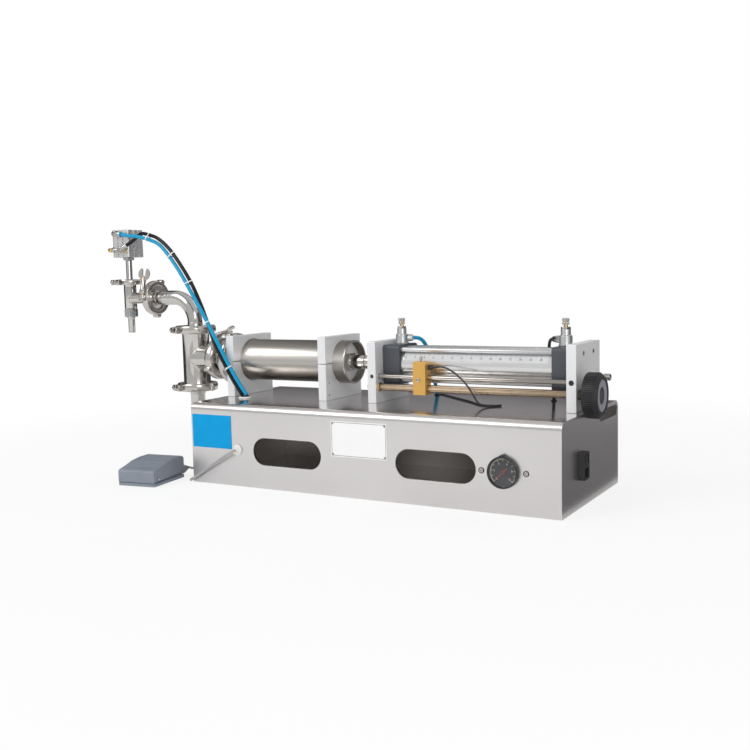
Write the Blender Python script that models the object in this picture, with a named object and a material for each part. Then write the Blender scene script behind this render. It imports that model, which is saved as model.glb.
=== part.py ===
# Piston liquid filler: a pneumatic bench filler with a foot pedal.
# Metres. X runs along the machine, -Y is the operator's side, +Z is up.
# The origin is the centre of the base's underside.

import math

import bmesh
import bpy
from mathutils import Vector

# Clearances.
gap = 0.0003  # between pieces that touch
running = 0.0004  # round a shaft or a slide that moves
through = 0.002  # how far a cutter runs past a face

# Base box.
base_width = 0.320
base_height = 0.160
sheet = 0.0015
edge_bend = 0.014
left_margin = 0.0055  # from the base's left end to the first plate
right_margin = 0.0130  # from the last plate to the base's right end
oval_length = 0.156
oval_height = 0.054
oval_from_end = 0.2305
fitting_rise = 0.072  # height of the ovals, the gauge and the cord's grommet
gauge_radius = 0.0275
gauge_depth = 0.030
gauge_from_end = 0.1015
cord_from_end = 0.1145
slot_length = 0.112
slot_height = 0.020
slot_drop = 0.017  # from the deck to the hand slot's middle
slot_y = 0.098
inlet_width = 0.028
inlet_height = 0.048
inlet_y = -0.065
inlet_z = 0.074

# Product cylinder and its piston.
stroke = 0.225
product_bore = 0.080
product_wall = 0.003
piston_length = 0.030
mouth_depth = 0.016  # from the piston at rest to the open rim
dead_length = 0.029  # from the ferrule to the piston at full stroke
coupler_radius = 0.01375

# Plates.
plate = 0.018
clamp_room = 0.026  # from the ferrule to the first plate
rim_overhang = 0.028  # of the open rim past the second plate
coupler_gap = 0.0675  # from the rim to the third plate
wall_over_bore = 0.010

# Air cylinder.
cap_length = 0.037
cap_side = 0.076
cap_corner = 0.006
cap_over_deck = 0.035
air_radius = 0.035
air_bore = 0.063
air_piston = 0.030
front_cushion = 0.044
rear_cushion = 0.006
tie_rod_radius = 0.005
tie_rod_offset = 0.0286
rod_radius = 0.010

# Stroke adjuster.
screw_radius = 0.007
screw_to_cap = 0.015
screw_to_edge = 0.014
screw_rise = 0.031
guide_radius = 0.0045
guide_over_screw = 0.021
guide_seat = 0.010  # how deep the rod sits in a plate
bush_radius = 0.0085
wheel_radius = 0.040
wheel_thickness = 0.027
wheel_off_base = 0.0025
wheel_ribs = 28
block_length = 0.026
block_depth = 0.023
block_height = 0.062
block_from_plate = 0.080
sensor_radius = 0.005
sensor_length = 0.008

# Valve group and nozzle, all on the product cylinder's axis line or above it.
face_gap = 0.002  # between two ferrules, for the gasket
rim = 0.0028  # a ferrule's straight edge
taper = 0.0017
clamp_width = 0.017
slim_clamp = 0.013  # width of the nozzle's clamp
clamp_wall = 0.007
bolt_radius = 0.0035  # of a clamp's swing bolt
bolt_out = 0.005  # from the band to the bolt's middle
wing_hub = 0.0055
wing_length = 0.050
knuckle_turn = math.radians(105)  # from the bolt to each hinge knuckle
head_rim = 0.049
tee_radius = 0.0295
tee_wall = 0.0015
tee_rim = 0.038
tee_half_height = 0.0625
branch_radius = 0.029
branch_rim = 0.039
branch_length = 0.066
head_length = 0.043
pipe_radius = 0.016
pipe_wall = 0.0015
elbow_bend = 0.055
elbow_neck = 0.0145  # from the tee's upper ferrule to the bend
elbow_run = 0.0565  # straight run after the bend
elbow_rim = 0.032
weld_bead = 0.0006
inlet_drop = 0.066
nozzle_radius = 0.014
nozzle_reach = 0.076  # from the elbow's clamp to the nozzle's axis
nozzle_below = 0.023
nozzle_above = 0.036
nozzle_rim = 0.0250
nut_width = 0.027
nut_height = 0.020
tip_radius = 0.0075
tip_length = 0.036
post_radius = 0.007
post_length = 0.0555
nozzle_cylinder_side = 0.049
nozzle_cylinder_height = 0.062
nozzle_lift = 0.010
stem_radius = 0.003
high_reach = 0.021  # of the upper fitting's collet
low_reach = 0.018
high_dip = math.radians(6)
low_angle = math.radians(32)
low_turn = math.radians(20)

# Flow valves and hoses.
valve_radius = 0.0118
stub_radius = 0.009
valve_height = 0.030
port_inset = 0.014
hose = 0.008
valve_hose = 0.0075
hose_grommet_place = (-0.3270, -0.061)
cable_hole = (0.218, -0.004)
air_hose_hole = (0.030, 0.112)

# Foot pedal.
pedal_width = 0.086
pedal_depth = 0.108
pedal_front = 0.032
pedal_back = 0.045
pedal_gland_x = 0.028
pedal_wall = 0.0025
pedal_ledge = 0.006
pedal_place = (-0.470, -0.192)
pedal_turn = math.radians(8)
pedal_pin_radius = 0.002
cord = 0.005
cord_coil_radius = 0.0275
cord_coil_place = (-0.450, 0.005)

# Places that follow from the sizes above.
product_length = stroke + piston_length + mouth_depth + dead_length
product_radius = product_bore / 2 + product_wall
air_length = stroke + air_piston + front_cushion + rear_cushion
machine_length = (product_length - clamp_room + coupler_gap + 2 * plate
                  + 2 * cap_length + air_length)
base_length = left_margin + machine_length + right_margin
base_left = -base_length / 2
base_right = base_length / 2
front = -base_width / 2
axis_y = 0.020
axis_z = base_height + cap_side / 2 + cap_over_deck
first_plate = base_left + left_margin
ferrule_x = first_plate - clamp_room
rim_x = ferrule_x + product_length
second_plate = rim_x - rim_overhang - plate
third_plate = rim_x + coupler_gap
front_cap = third_plate + plate
tube_start = front_cap + cap_length
tube_end = tube_start + air_length
fourth_plate = tube_end + cap_length
plate_end = fourth_plate + plate
plate_half = cap_side / 2 + screw_to_cap + screw_to_edge
tall_plate = axis_z + product_radius + wall_over_bore - base_height
short_plate = axis_z + cap_side / 2 + 0.007 - base_height
screw_y = axis_y - cap_side / 2 - screw_to_cap
screw_z = base_height + screw_rise
guide_z = screw_z + guide_over_screw
block_x = third_plate + plate + block_from_plate
block_y = screw_y - 0.0015
block_z = screw_z - 0.011
sensor_start = block_x + block_length + gap
sensor_y = block_y + 0.0065
sensor_z = block_z + block_height - 0.011
tee_x = ferrule_x - face_gap - head_length - face_gap - branch_length
tee_top = axis_z + tee_half_height
tee_bottom = axis_z - tee_half_height
elbow_z = tee_top + face_gap + elbow_neck + elbow_bend
elbow_end = tee_x - elbow_bend - elbow_run
nozzle_x = elbow_end - face_gap - nozzle_reach
nozzle_top = elbow_z + nozzle_above
nozzle_bottom = elbow_z - nozzle_below
post_top = nozzle_top + face_gap + post_length
fitting_y = axis_y - nozzle_cylinder_side / 2 - 0.0115
high_fitting = (nozzle_x - 0.004, fitting_y, post_top + 0.053)
low_fitting = (nozzle_x + 0.0105, fitting_y, post_top + 0.0165)

# Facings: which way a shape's own +Z points.
quarter = math.pi / 2
up = (0, 0, 0)
down = (math.pi, 0, 0)
right = (quarter, 0, quarter)
left = (quarter, 0, -quarter)
forward = (quarter, 0, 0)
backward = (quarter, 0, math.pi)


def paint(name, colour, roughness, metallic=0.0):
    """A plain material of one colour."""
    material = bpy.data.materials.new(name)
    material.use_nodes = True
    shader = material.node_tree.nodes["Principled BSDF"]
    shader.inputs["Base Color"].default_value = (*colour, 1)
    shader.inputs["Roughness"].default_value = roughness
    shader.inputs["Metallic"].default_value = metallic
    return material


def piece(name, shape, colour, place=(0, 0, 0), facing=up, crease=35):
    """Turns a bmesh into a named object."""
    bmesh.ops.recalc_face_normals(shape, faces=shape.faces)
    mesh = bpy.data.meshes.new(name)
    shape.to_mesh(mesh)
    shape.free()
    mesh.shade_smooth()
    mesh.set_sharp_from_angle(angle=math.radians(crease))
    if colour:
        mesh.materials.append(colour)
    thing = bpy.data.objects.new(name, mesh)
    thing.location = place
    thing.rotation_euler = facing
    bpy.context.scene.collection.objects.link(thing)
    return thing


def combine(target, operation, tools):
    for tool in tools:
        tool.hide_render = True
        tool.display_type = "WIRE"
        step = target.modifiers.new(operation.title(), "BOOLEAN")
        step.operation = operation
        step.object = tool


def tool(shape, place=(0, 0, 0), facing=up):
    return piece("tool", shape, None, place, facing)


def cut(target, *tools):
    combine(target, "DIFFERENCE", tools)


def join(target, *tools):
    combine(target, "UNION", tools)


def arc(centre, radius, start, end, steps):
    """Points on an arc, angles in degrees."""
    angles = [math.radians(start + (end - start) * k / steps) for k in range(steps + 1)]
    return [(centre[0] + radius * math.cos(a), centre[1] + radius * math.sin(a)) for a in angles]


def rectangle(width, height, corner=0.0, steps=3):
    """Outline of a rectangle about the origin, with round corners if corner is set."""
    x, y = width / 2 - corner, height / 2 - corner
    if not corner:
        return [(-x, -y), (x, -y), (x, y), (-x, y)]
    points = []
    for sx, sy, start in ((1, 1, 0), (-1, 1, 90), (-1, -1, 180), (1, -1, 270)):
        points += arc((sx * x, sy * y), corner, start, start + 90, steps)
    return points


def obround(length, height, steps=6):
    reach = (length - height) / 2
    return (arc((reach, 0), height / 2, -90, 90, steps)
            + arc((-reach, 0), height / 2, 90, 270, steps))


def hexagon(across_flats):
    radius = across_flats / math.sqrt(3)
    return arc((0, 0), radius, 0, 300, 5)


def prism(outline, depth, start=0.0):
    """An outline in X and Y, raised from start by depth."""
    shape = bmesh.new()
    corners = [shape.verts.new((x, y, start)) for x, y in outline]
    face = shape.faces.new(corners)
    raised = bmesh.ops.extrude_face_region(shape, geom=[face])
    moved = [v for v in raised["geom"] if isinstance(v, bmesh.types.BMVert)]
    bmesh.ops.translate(shape, verts=moved, vec=(0, 0, depth))
    return shape


def turned(outline, sides=24):
    """A closed outline of (radius, height) points, turned about Z."""
    shape = bmesh.new()
    points = [shape.verts.new((radius, 0, height)) for radius, height in outline]
    edges = [shape.edges.new(pair) for pair in zip(points, points[1:] + points[:1])
             if pair[0].co.x > 1e-6 or pair[1].co.x > 1e-6]
    bmesh.ops.spin(shape, geom=points + edges, axis=(0, 0, 1), cent=(0, 0, 0),
                   angle=2 * math.pi, steps=sides, use_merge=True)
    bmesh.ops.remove_doubles(shape, verts=shape.verts, dist=1e-6)
    return shape


def rod(radius, length, start=0.0, sides=16):
    return turned([(0, start), (radius, start), (radius, start + length), (0, start + length)], sides)


def bent_rod(path, radius, sides=18):
    """A round bar along a path in X and Z, with flat ends square to it."""
    shape = bmesh.new()
    path = [Vector((x, 0, z)) for x, z in path]
    rings = []
    for k, point in enumerate(path):
        before, after = path[max(k - 1, 0)], path[min(k + 1, len(path) - 1)]
        along = (after - before).normalized()
        side = Vector((0, 1, 0))
        across = along.cross(side)
        angles = [2 * math.pi * n / sides for n in range(sides)]
        rings.append([shape.verts.new(point + radius * (math.cos(a) * across + math.sin(a) * side))
                      for a in angles])
    for here, there in zip(rings, rings[1:]):
        for n in range(sides):
            m = (n + 1) % sides
            shape.faces.new((here[n], here[m], there[m], there[n]))
    shape.faces.new(rings[0])
    shape.faces.new(rings[-1])
    return shape


def smooth_route(points, spacing):
    """Evenly spaced points on a smooth curve through the route's own points."""
    points = [Vector(p) for p in points]
    ends = [2 * points[0] - points[1]] + points + [2 * points[-1] - points[-2]]
    fine = []
    for a, b, c, d in zip(ends, ends[1:], ends[2:], ends[3:]):
        for n in range(24):
            t = n / 24
            fine.append(0.5 * (2 * b + (c - a) * t + (2 * a - 5 * b + 4 * c - d) * t ** 2
                               + (3 * b - a - 3 * c + d) * t ** 3))
    fine.append(points[-1])
    steps = [(q - p).length for p, q in zip(fine, fine[1:])]
    count = max(2, round(sum(steps) / spacing))
    wanted = [sum(steps) * k / count for k in range(count + 1)]
    route, walked, index = [fine[0]], 0.0, 0
    for distance in wanted[1:-1]:
        while walked + steps[index] < distance:
            walked += steps[index]
            index += 1
        share = (distance - walked) / steps[index]
        route.append(fine[index].lerp(fine[index + 1], share))
    return route + [fine[-1]]


def line(name, points, diameter, colour, spacing=2.5, fineness=2):
    """A cord or hose: a round tube along a smooth route."""
    curve = bpy.data.curves.new(name, "CURVE")
    curve.dimensions = "3D"
    curve.bevel_depth = diameter / 2
    curve.bevel_resolution = fineness
    curve.use_fill_caps = True
    route = smooth_route(points, spacing * diameter)
    spline = curve.splines.new("POLY")
    spline.points.add(len(route) - 1)
    for knot, point in zip(spline.points, route):
        knot.co = (*point, 1)
    curve.materials.append(colour)
    thing = bpy.data.objects.new(name, curve)
    bpy.context.scene.collection.objects.link(thing)
    return thing


def ferrule(edge, neck, length, start=0.0):
    """Outer half of a pipe end's outline, from its flat face to its neck."""
    return [(edge, start), (edge, start + rim), (edge - 0.0045, start + rim + taper),
            (neck, start + rim + taper), (neck, start + length)]


def clamp_ring(edge, width):
    """A clamp's band, with the V groove that pulls two ferrules together."""
    half = width / 2
    flat = face_gap / 2 + rim + gap
    inner = edge - 0.004 + gap
    return turned([(edge + clamp_wall, -half), (edge + clamp_wall, half), (inner, half),
                   (inner, flat + taper + gap), (edge + gap, flat), (edge + gap, -flat),
                   (inner, -flat - taper - gap), (inner, -half)])


def on_bolt(band, thing, radius, angle, along=0.0):
    """Seats a shape on a clamp's swing bolt, which lies square to the radius at this angle."""
    thing.parent = band
    thing.rotation_euler = (quarter, 0, angle)
    thing.location = (radius * math.cos(angle) + along * math.sin(angle),
                      radius * math.sin(angle) - along * math.cos(angle), 0)
    return thing


def pipe_clamp(name, edge, place, facing, bolt_angle, colour, wings=None, width=clamp_width):
    """A hinged clamp: band, two knuckles, ear and swing bolt, closed by a hexagon nut or by wings."""
    band = piece(name, clamp_ring(edge, width), colour, place, facing)
    outside = edge + clamp_wall
    out = outside + bolt_out
    short = 0.010
    ear_end = math.sqrt((outside + gap) ** 2 - (out - wing_hub) ** 2) + gap if wings else short
    bolt_end = ear_end + (wing_length * 0.6 if wings else 0.008)
    ear = tool(prism(rectangle(0.012, width - 0.003), short + ear_end, -short))
    bolt = tool(rod(bolt_radius, short + 0.005 + bolt_end, -short - 0.005, 8))
    join(band, on_bolt(band, ear, out - 0.001, bolt_angle), on_bolt(band, bolt, out, bolt_angle))
    for away in (-knuckle_turn, knuckle_turn):
        knuckle = tool(rod(0.006, width - 0.002, 0.001 - width / 2, 10))
        knuckle.parent = band
        knuckle.location = (outside * math.cos(bolt_angle + away),
                            outside * math.sin(bolt_angle + away), 0)
        join(band, knuckle)
    if wings:
        nut_name, wing_turn = wings
        on_bolt(band, wing_nut(nut_name, wing_turn, colour), out, bolt_angle, ear_end + gap)
    else:
        nut = tool(prism(hexagon(0.012), 0.006, short - 0.001))
        join(band, on_bolt(band, nut, out, bolt_angle))
    return band


def wing_outline():
    """A wing nut's wings, seen from the side and mirrored about its bolt."""
    half = [(0.0045, 0.010), (0.0055, 0.024), (0.0103, 0.029), (0.0125, 0.036), (0.0119, 0.043),
            (0.0091, 0.0485), (0.0058, 0.0500), (0.0032, 0.0465), (0.0025, 0.0340)]
    return half + [(-x, y) for x, y in reversed(half)]


def wing_nut(name, wing_turn, colour):
    """A long wing nut with two rounded wings, bored for its bolt."""
    nut = piece(name, rod(wing_hub, 0.024, sides=12), colour)
    wings = tool(prism(wing_outline(), 0.005, -0.0025))
    wings.parent = nut
    wings.rotation_euler = (quarter, 0, wing_turn)
    bore = tool(rod(bolt_radius + running, wing_length + 2 * through, -through, 8))
    bore.parent = nut
    join(nut, wings)
    cut(nut, bore)
    return nut


def flow_valve(name, x, hose_angle, colour):
    """Speed controller on a cylinder cap: flanged foot, round body, upper stub and push-in collet."""
    foot_z = axis_z + cap_side / 2 + gap
    outline = [(0, 0), (valve_radius + 0.0012, 0), (valve_radius + 0.0012, 0.003), (valve_radius, 0.0035),
               (valve_radius, 0.018), (valve_radius - 0.001, 0.019), (stub_radius, 0.0195),
               (stub_radius, valve_height), (0, valve_height)]
    body = piece(name, turned(outline), colour, (x, axis_y, foot_z))
    middle = (x, axis_y, foot_z + 0.011)
    collet = tool(rod(0.007, 0.018, 0.004, 12), middle, (0, quarter, hose_angle))
    socket = tool(rod(valve_hose / 2 + gap, 0.010, 0.014, 10), middle, (0, quarter, hose_angle))
    seat = tool(rod(0.004 + running, 0.020, valve_height - 0.008, 10), (x, axis_y, foot_z))
    join(body, collet)
    cut(body, socket, seat)
    return body


def flow_knob(name, x, colour):
    """The screw of a speed controller: a thin neck under a knurled knob."""
    foot_z = axis_z + cap_side / 2 + gap + valve_height
    outline = [(0, -0.0075), (0.0038, -0.0075), (0.0038, 0.008), (0.0065, 0.008), (0.0065, 0.0128),
               (0.0055, 0.0133), (0.0065, 0.0138), (0.0065, 0.0190), (0.0055, 0.0200), (0, 0.020)]
    return piece(name, turned(outline, 14), colour, (x, axis_y, foot_z))


for old in list(bpy.data.objects):
    bpy.data.objects.remove(old, do_unlink=True)

steel = paint("stainless", (0.62, 0.60, 0.58), 0.28, 1.0)
polished = paint("polished stainless", (0.70, 0.69, 0.67), 0.14, 1.0)
brushed = paint("brushed stainless", (0.48, 0.45, 0.41), 0.32, 1.0)
alloy = paint("plate aluminium", (0.85, 0.86, 0.87), 0.35, 0.6)
extruded = paint("extruded aluminium", (0.72, 0.73, 0.75), 0.30, 1.0)
cast = paint("dark cast aluminium", (0.075, 0.08, 0.09), 0.45, 0.3)
gold = paint("gold anodised", (0.85, 0.58, 0.20), 0.35, 0.8)
brass = paint("brass", (0.66, 0.48, 0.26), 0.30, 1.0)
black = paint("black plastic", (0.02, 0.02, 0.022), 0.45)
white = paint("white plastic", (0.80, 0.80, 0.78), 0.45)
pale = paint("piston plastic", (0.78, 0.78, 0.76), 0.40)
blue = paint("blue hose", (0.02, 0.35, 0.75), 0.30)
dark_hose = paint("black hose", (0.015, 0.015, 0.018), 0.30)
grey_cord = paint("grey cord", (0.55, 0.54, 0.53), 0.45)
dark_cord = paint("dark cord", (0.05, 0.05, 0.055), 0.45)
pedal_paint = paint("pedal grey", (0.14, 0.17, 0.20), 0.50, 0.2)
red = paint("red needle", (0.70, 0.05, 0.03), 0.40)


def base():
    """Folded sheet cover, open below, with its cut-outs, and the flat pan that closes it."""
    def section(inset):
        side, top, bend = base_width / 2 - inset, base_height - inset, edge_bend - inset
        return ([(-side, 0), (side, 0)]
                + arc((side - bend, top - bend), bend, 0, 90, 4)
                + arc((-side + bend, top - bend), bend, 90, 180, 4))

    cover = piece("base_cover", prism(section(0), base_length), steel, (base_left, 0, 0), right)
    hollow = prism(section(sheet), base_length - 2 * sheet, sheet)
    for vertex in hollow.verts:
        if vertex.co.y < through:
            vertex.co.y = -through
    cut(cover, tool(hollow, (base_left, 0, 0), right))
    wall = sheet + 2 * through
    for x in (base_left + oval_from_end, base_right - oval_from_end):
        cut(cover, tool(prism(obround(oval_length, oval_height), wall),
                        (x, front + sheet + through, fitting_rise), forward))
    face_y = front + sheet + through
    cut(cover,
        tool(rod(gauge_radius - 0.0035 + gap, wall, sides=24),
             (base_right - gauge_from_end, face_y, fitting_rise), forward),
        tool(rod(0.008 + gap, wall, sides=14), (base_left + cord_from_end, face_y, fitting_rise), forward))
    for x, facing in ((base_right - sheet - through, right), (base_left + sheet + through, left)):
        place = (x, slot_y, base_height - slot_drop)
        cut(cover, tool(prism(obround(slot_length, slot_height, 6), wall), place, facing))
    cut(cover,
        tool(prism(rectangle(inlet_width - 0.004 + 2 * gap, inlet_height - 0.004 + 2 * gap), wall),
             (base_right - sheet - through, inlet_y, inlet_z), right),
        tool(rod(0.009 + gap, wall, sides=14), (*hose_grommet_place, base_height - sheet - through)),
        tool(rod(0.004, wall, sides=8), (*cable_hole, base_height - sheet - through)),
        tool(rod(0.006, wall, sides=8), (*air_hose_hole, base_height - sheet - through)))
    pan_length = base_length - 2 * sheet - 2 * gap
    pan_width = base_width - 2 * sheet - 2 * gap
    piece("base_pan", prism(rectangle(pan_length, pan_width), sheet), steel)
    manifold = piece("valve_block", prism(rectangle(0.110, 0.045), 0.040), cast,
                     (base_right - 0.130, 0.100, sheet + gap))
    for k in (-1, 0, 1):
        cut(manifold, tool(rod(0.005, 0.020, sides=8),
                           (base_right - 0.130 + 0.032 * k, 0.100, sheet + gap + 0.030)))


def gauge():
    """Pressure gauge in the front: case with a dial well, and its needle."""
    x = base_right - gauge_from_end
    well = gauge_radius - 0.0030
    body = gauge_radius - 0.0035
    case = turned([(0, -gauge_depth), (body, -gauge_depth), (body, 0), (gauge_radius, 0),
                   (gauge_radius, 0.0070), (gauge_radius - 0.0015, 0.0085), (well, 0.0085),
                   (well, 0.0020), (0, 0.0020)])
    place = (x, front - gap, fitting_rise)
    piece("gauge_case", case, black, place, forward)
    pointer = [(-0.0008, -0.009), (0.0008, -0.009), (0.0008, 0), (0.0003, 0.0195), (-0.0003, 0.0195),
               (-0.0008, 0)]
    needle = piece("gauge_needle", prism(pointer, 0.0008, 0.0040), red, place,
                   (quarter, math.radians(-135), 0))
    hub = tool(rod(0.0030, 0.0035, 0.0020 + gap, 8))
    hub.parent = needle
    join(needle, hub)


def power_inlet():
    """Mains inlet with a rocker above its socket, let into the right end."""
    place = (base_right + gap, inlet_y, inlet_z)
    body = piece("power_inlet", prism(rectangle(inlet_width, inlet_height, 0.003), 0.011), black,
                 place, right)
    stem = tool(prism(rectangle(inlet_width - 0.004, inlet_height - 0.004), 0.030, -0.026), place, right)
    well = tool(prism(rectangle(0.0212, 0.0142), 0.012, 0.002), (place[0], inlet_y, inlet_z + 0.0125), right)
    socket = tool(prism(rectangle(0.022, 0.016, 0.003, 2), 0.020, -0.008),
                  (place[0], inlet_y, inlet_z - 0.0115), right)
    join(body, stem)
    cut(body, well, socket)
    tilt = math.radians(7)
    reach = 0.0098
    outline = [(-reach, 0.0), (reach, 0.0), (reach, 0.0045), (0, 0.0058), (-reach, 0.0045)]
    piece("rocker_switch", prism(outline, 0.0134, -0.0067), black,
          (place[0] + 0.0062, inlet_y, inlet_z + 0.0125), (0, 0, -quarter + tilt))


def grommets():
    """White bushes where the pedal's cord and the air hoses leave the base."""
    outline = [(cord / 2 + gap, -0.006), (0.008, -0.006), (0.008, 0), (0.011, 0), (0.011, 0.003),
               (0.009, 0.0045), (cord / 2 + gap, 0.0045)]
    piece("cord_grommet", turned(outline, 14), white,
          (base_left + cord_from_end, front - gap, fitting_rise), forward)
    outline = [(0, -0.004), (0.009, -0.004), (0.009, 0), (0.0135, 0), (0.0135, 0.0015),
               (0.0105, 0.003), (0, 0.003)]
    piece("hose_grommet", turned(outline, 14), white, (*hose_grommet_place, base_height + gap))


def plates():
    """Four aluminium plates standing on the deck."""
    def standing(name, x, height):
        return piece(name, prism([(-plate_half, 0), (plate_half, 0), (plate_half, height),
                                  (-plate_half, height)], plate), alloy,
                     (x, axis_y, base_height + gap), right)

    deep = plate + 2 * through
    holder = standing("left_end_plate", first_plate, tall_plate)
    collar = standing("cylinder_plate", second_plate, tall_plate)
    for target, x in ((holder, first_plate), (collar, second_plate)):
        bore = tool(rod(product_radius + gap, deep, -through, 24), (x, axis_y, axis_z), right)
        slit = tool(prism(rectangle(plate_half + through, 0.002), deep, -through),
                    (x, axis_y - (plate_half + through) / 2, axis_z), right)
        cut(target, bore, slit)
    for k in (0, 1):
        cut(collar, tool(rod(0.002, 0.008, sides=8), (second_plate + plate - 0.005, screw_y - 0.002,
                                                       base_height + 0.005 + 0.025 * (k + 0.2)), right))
    front_rod = standing("front_rod_plate", third_plate, short_plate)
    rear_rod = standing("rear_rod_plate", fourth_plate, short_plate)
    cut(front_rod,
        tool(rod(coupler_radius + 0.003, deep, -through, 18), (third_plate, axis_y, axis_z), right),
        tool(rod(bush_radius + gap, deep, -through, 14), (third_plate, screw_y, screw_z), right))
    cut(rear_rod, tool(rod(screw_radius + running, deep, -through, 14),
                       (fourth_plate, screw_y, screw_z), right))
    for target, x, seat_x, screw in ((front_rod, third_plate, plate - guide_seat, 0.004),
                                     (rear_rod, fourth_plate, -through, 0.005)):
        cut(target,
            tool(rod(guide_radius + gap, guide_seat + through, sides=10),
                 (x + seat_x, screw_y, guide_z), right),
            tool(rod(screw, 0.008 + through, sides=10),
                 (x + plate / 2, axis_y - plate_half + 0.008, guide_z), forward))


def product_cylinder():
    """Stainless measuring cylinder with its ferrule, piston and rod."""
    inner = product_bore / 2
    outer = product_radius
    shoulder = first_plate + plate + gap - ferrule_x
    outline = ([(inner, 0)] + ferrule(head_rim, outer, shoulder)
               + [(outer + 0.002, shoulder), (outer + 0.002, shoulder + 0.003), (outer, shoulder + 0.003),
                  (outer, product_length - 0.003), (outer + 0.001, product_length - 0.003),
                  (outer + 0.001, product_length), (inner, product_length)])
    piece("product_cylinder", turned(outline), brushed, (ferrule_x, axis_y, axis_z), (0, quarter, 0))
    face = rim_x - mouth_depth
    disc = inner - running
    outline = [(0, 0), (disc, 0), (disc, 0.007), (disc - 0.002, 0.007),
               (disc - 0.002, 0.012), (disc, 0.012), (disc, piston_length), (0, piston_length)]
    piece("product_piston", turned(outline), pale, (face - piston_length, axis_y, axis_z),
          (0, quarter, 0))
    coupler = third_plate - 0.004 - face
    rear = tube_end - rear_cushion - face
    outline = [(0, gap), (coupler_radius, gap), (coupler_radius, coupler), (rod_radius, coupler),
               (rod_radius, rear - air_piston), (air_bore / 2 - running, rear - air_piston),
               (air_bore / 2 - running, rear), (0, rear)]
    piece("piston_rod", turned(outline, 20), polished, (face, axis_y, axis_z), (0, quarter, 0))


def air_cylinder():
    """Two caps, tube and four tie rods."""
    for name, x, bored in (("air_cap_front", front_cap + gap, True), ("air_cap_rear", tube_end + gap, False)):
        length = cap_length - 2 * gap
        cap = piece(name, prism(rectangle(cap_side, cap_side, cap_corner), length), cast,
                    (x, axis_y, axis_z), right)
        if bored:
            cut(cap, tool(rod(rod_radius + running, length + 2 * through, -through, 20),
                          (x, axis_y, axis_z), right))
        for sy in (-1, 1):
            for sz in (-1, 1):
                hole = (x, axis_y + sy * tie_rod_offset, axis_z + sz * tie_rod_offset)
                cut(cap, tool(rod(tie_rod_radius + gap, length + 2 * through, -through, 10), hole, right))
    inner = air_bore / 2
    outline = [(inner, gap), (air_radius, gap), (air_radius, air_length - gap), (inner, air_length - gap)]
    piece("air_tube", turned(outline), extruded, (tube_start, axis_y, axis_z), (0, quarter, 0))
    span = air_length + 2 * cap_length - 4 * gap
    names = iter(("tie_rod_low_front", "tie_rod_high_front", "tie_rod_low_rear", "tie_rod_high_rear"))
    for sy in (-1, 1):
        for sz in (-1, 1):
            piece(next(names), rod(tie_rod_radius, span, 2 * gap, 10), steel,
                  (front_cap, axis_y + sy * tie_rod_offset, axis_z + sz * tie_rod_offset), (0, quarter, 0))
    front_port = tube_start - port_inset
    rear_port = tube_end + port_inset
    flow_valve("front_flow_valve", front_port, math.radians(40), steel)
    flow_valve("rear_flow_valve", rear_port, math.radians(150), steel)
    flow_knob("front_flow_knob", front_port, polished)
    flow_knob("rear_flow_knob", rear_port, polished)


def stroke_adjuster():
    """Lead screw with its handwheel, guide rod, and the block that carries the sensor."""
    start = third_plate + 0.004
    wheel_x = plate_end + right_margin + wheel_off_base
    piece("lead_screw", rod(screw_radius, wheel_x + wheel_thickness - 0.006 - start, sides=14), brass,
          (start, screw_y, screw_z), (0, quarter, 0))
    outline = [(screw_radius + running, -0.003), (bush_radius + 0.002, -0.003), (bush_radius + 0.002, -gap),
               (bush_radius, -gap), (bush_radius, plate + 0.003), (screw_radius + running, plate + 0.003)]
    piece("screw_bush", turned(outline, 14), brass, (third_plate, screw_y, screw_z), (0, quarter, 0))
    ribs = []
    for k in range(wheel_ribs):
        for share, radius in ((0.0, wheel_radius), (0.45, wheel_radius), (0.5, wheel_radius - 0.0025),
                              (0.95, wheel_radius - 0.0025)):
            angle = 2 * math.pi * (k + share) / wheel_ribs
            ribs.append((radius * math.cos(angle), radius * math.sin(angle)))
    wheel = piece("handwheel", prism(ribs, wheel_thickness), black, (wheel_x, screw_y, screw_z), right)
    room = right_margin + wheel_off_base
    centre = (wheel_x, screw_y, screw_z)
    shell = tool(turned([(0, -0.001), (wheel_radius + 0.001, -0.001),
                         (wheel_radius + 0.001, wheel_thickness - 0.0075),
                         (wheel_radius - 0.0065, wheel_thickness + gap), (0, wheel_thickness + gap)],
                        wheel_ribs), centre, right)
    combine(wheel, "INTERSECT", [shell])
    hub = tool(rod(0.0095, room, 0.001 + gap - room), centre, right)
    bore = tool(rod(screw_radius + gap, 0.060, -0.020, 14), centre, right)
    recess = tool(rod(0.013, 0.010, wheel_thickness - 0.008), centre, right)
    join(wheel, hub)
    cut(wheel, bore, recess)
    rod_start = third_plate + plate - guide_seat + gap
    piece("guide_rod", rod(guide_radius, fourth_plate + guide_seat - gap - rod_start, sides=10), polished,
          (rod_start, screw_y, guide_z), (0, quarter, 0))
    block = piece("sensor_block", prism(rectangle(block_depth, block_height), block_length), gold,
                  (block_x, block_y, block_z + block_height / 2), right)
    for radius, z in ((screw_radius + running, screw_z), (guide_radius + running, guide_z)):
        cut(block, tool(rod(radius, block_length + 2 * through, -through, 14), (block_x, screw_y, z), right))
    sensor = turned([(0, 0), (sensor_radius, 0), (sensor_radius, sensor_length - 0.003),
                     (0.0025, sensor_length), (0, sensor_length)], 10)
    piece("reed_sensor", sensor, dark_cord, (sensor_start, sensor_y, sensor_z), (0, quarter, 0))


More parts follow.
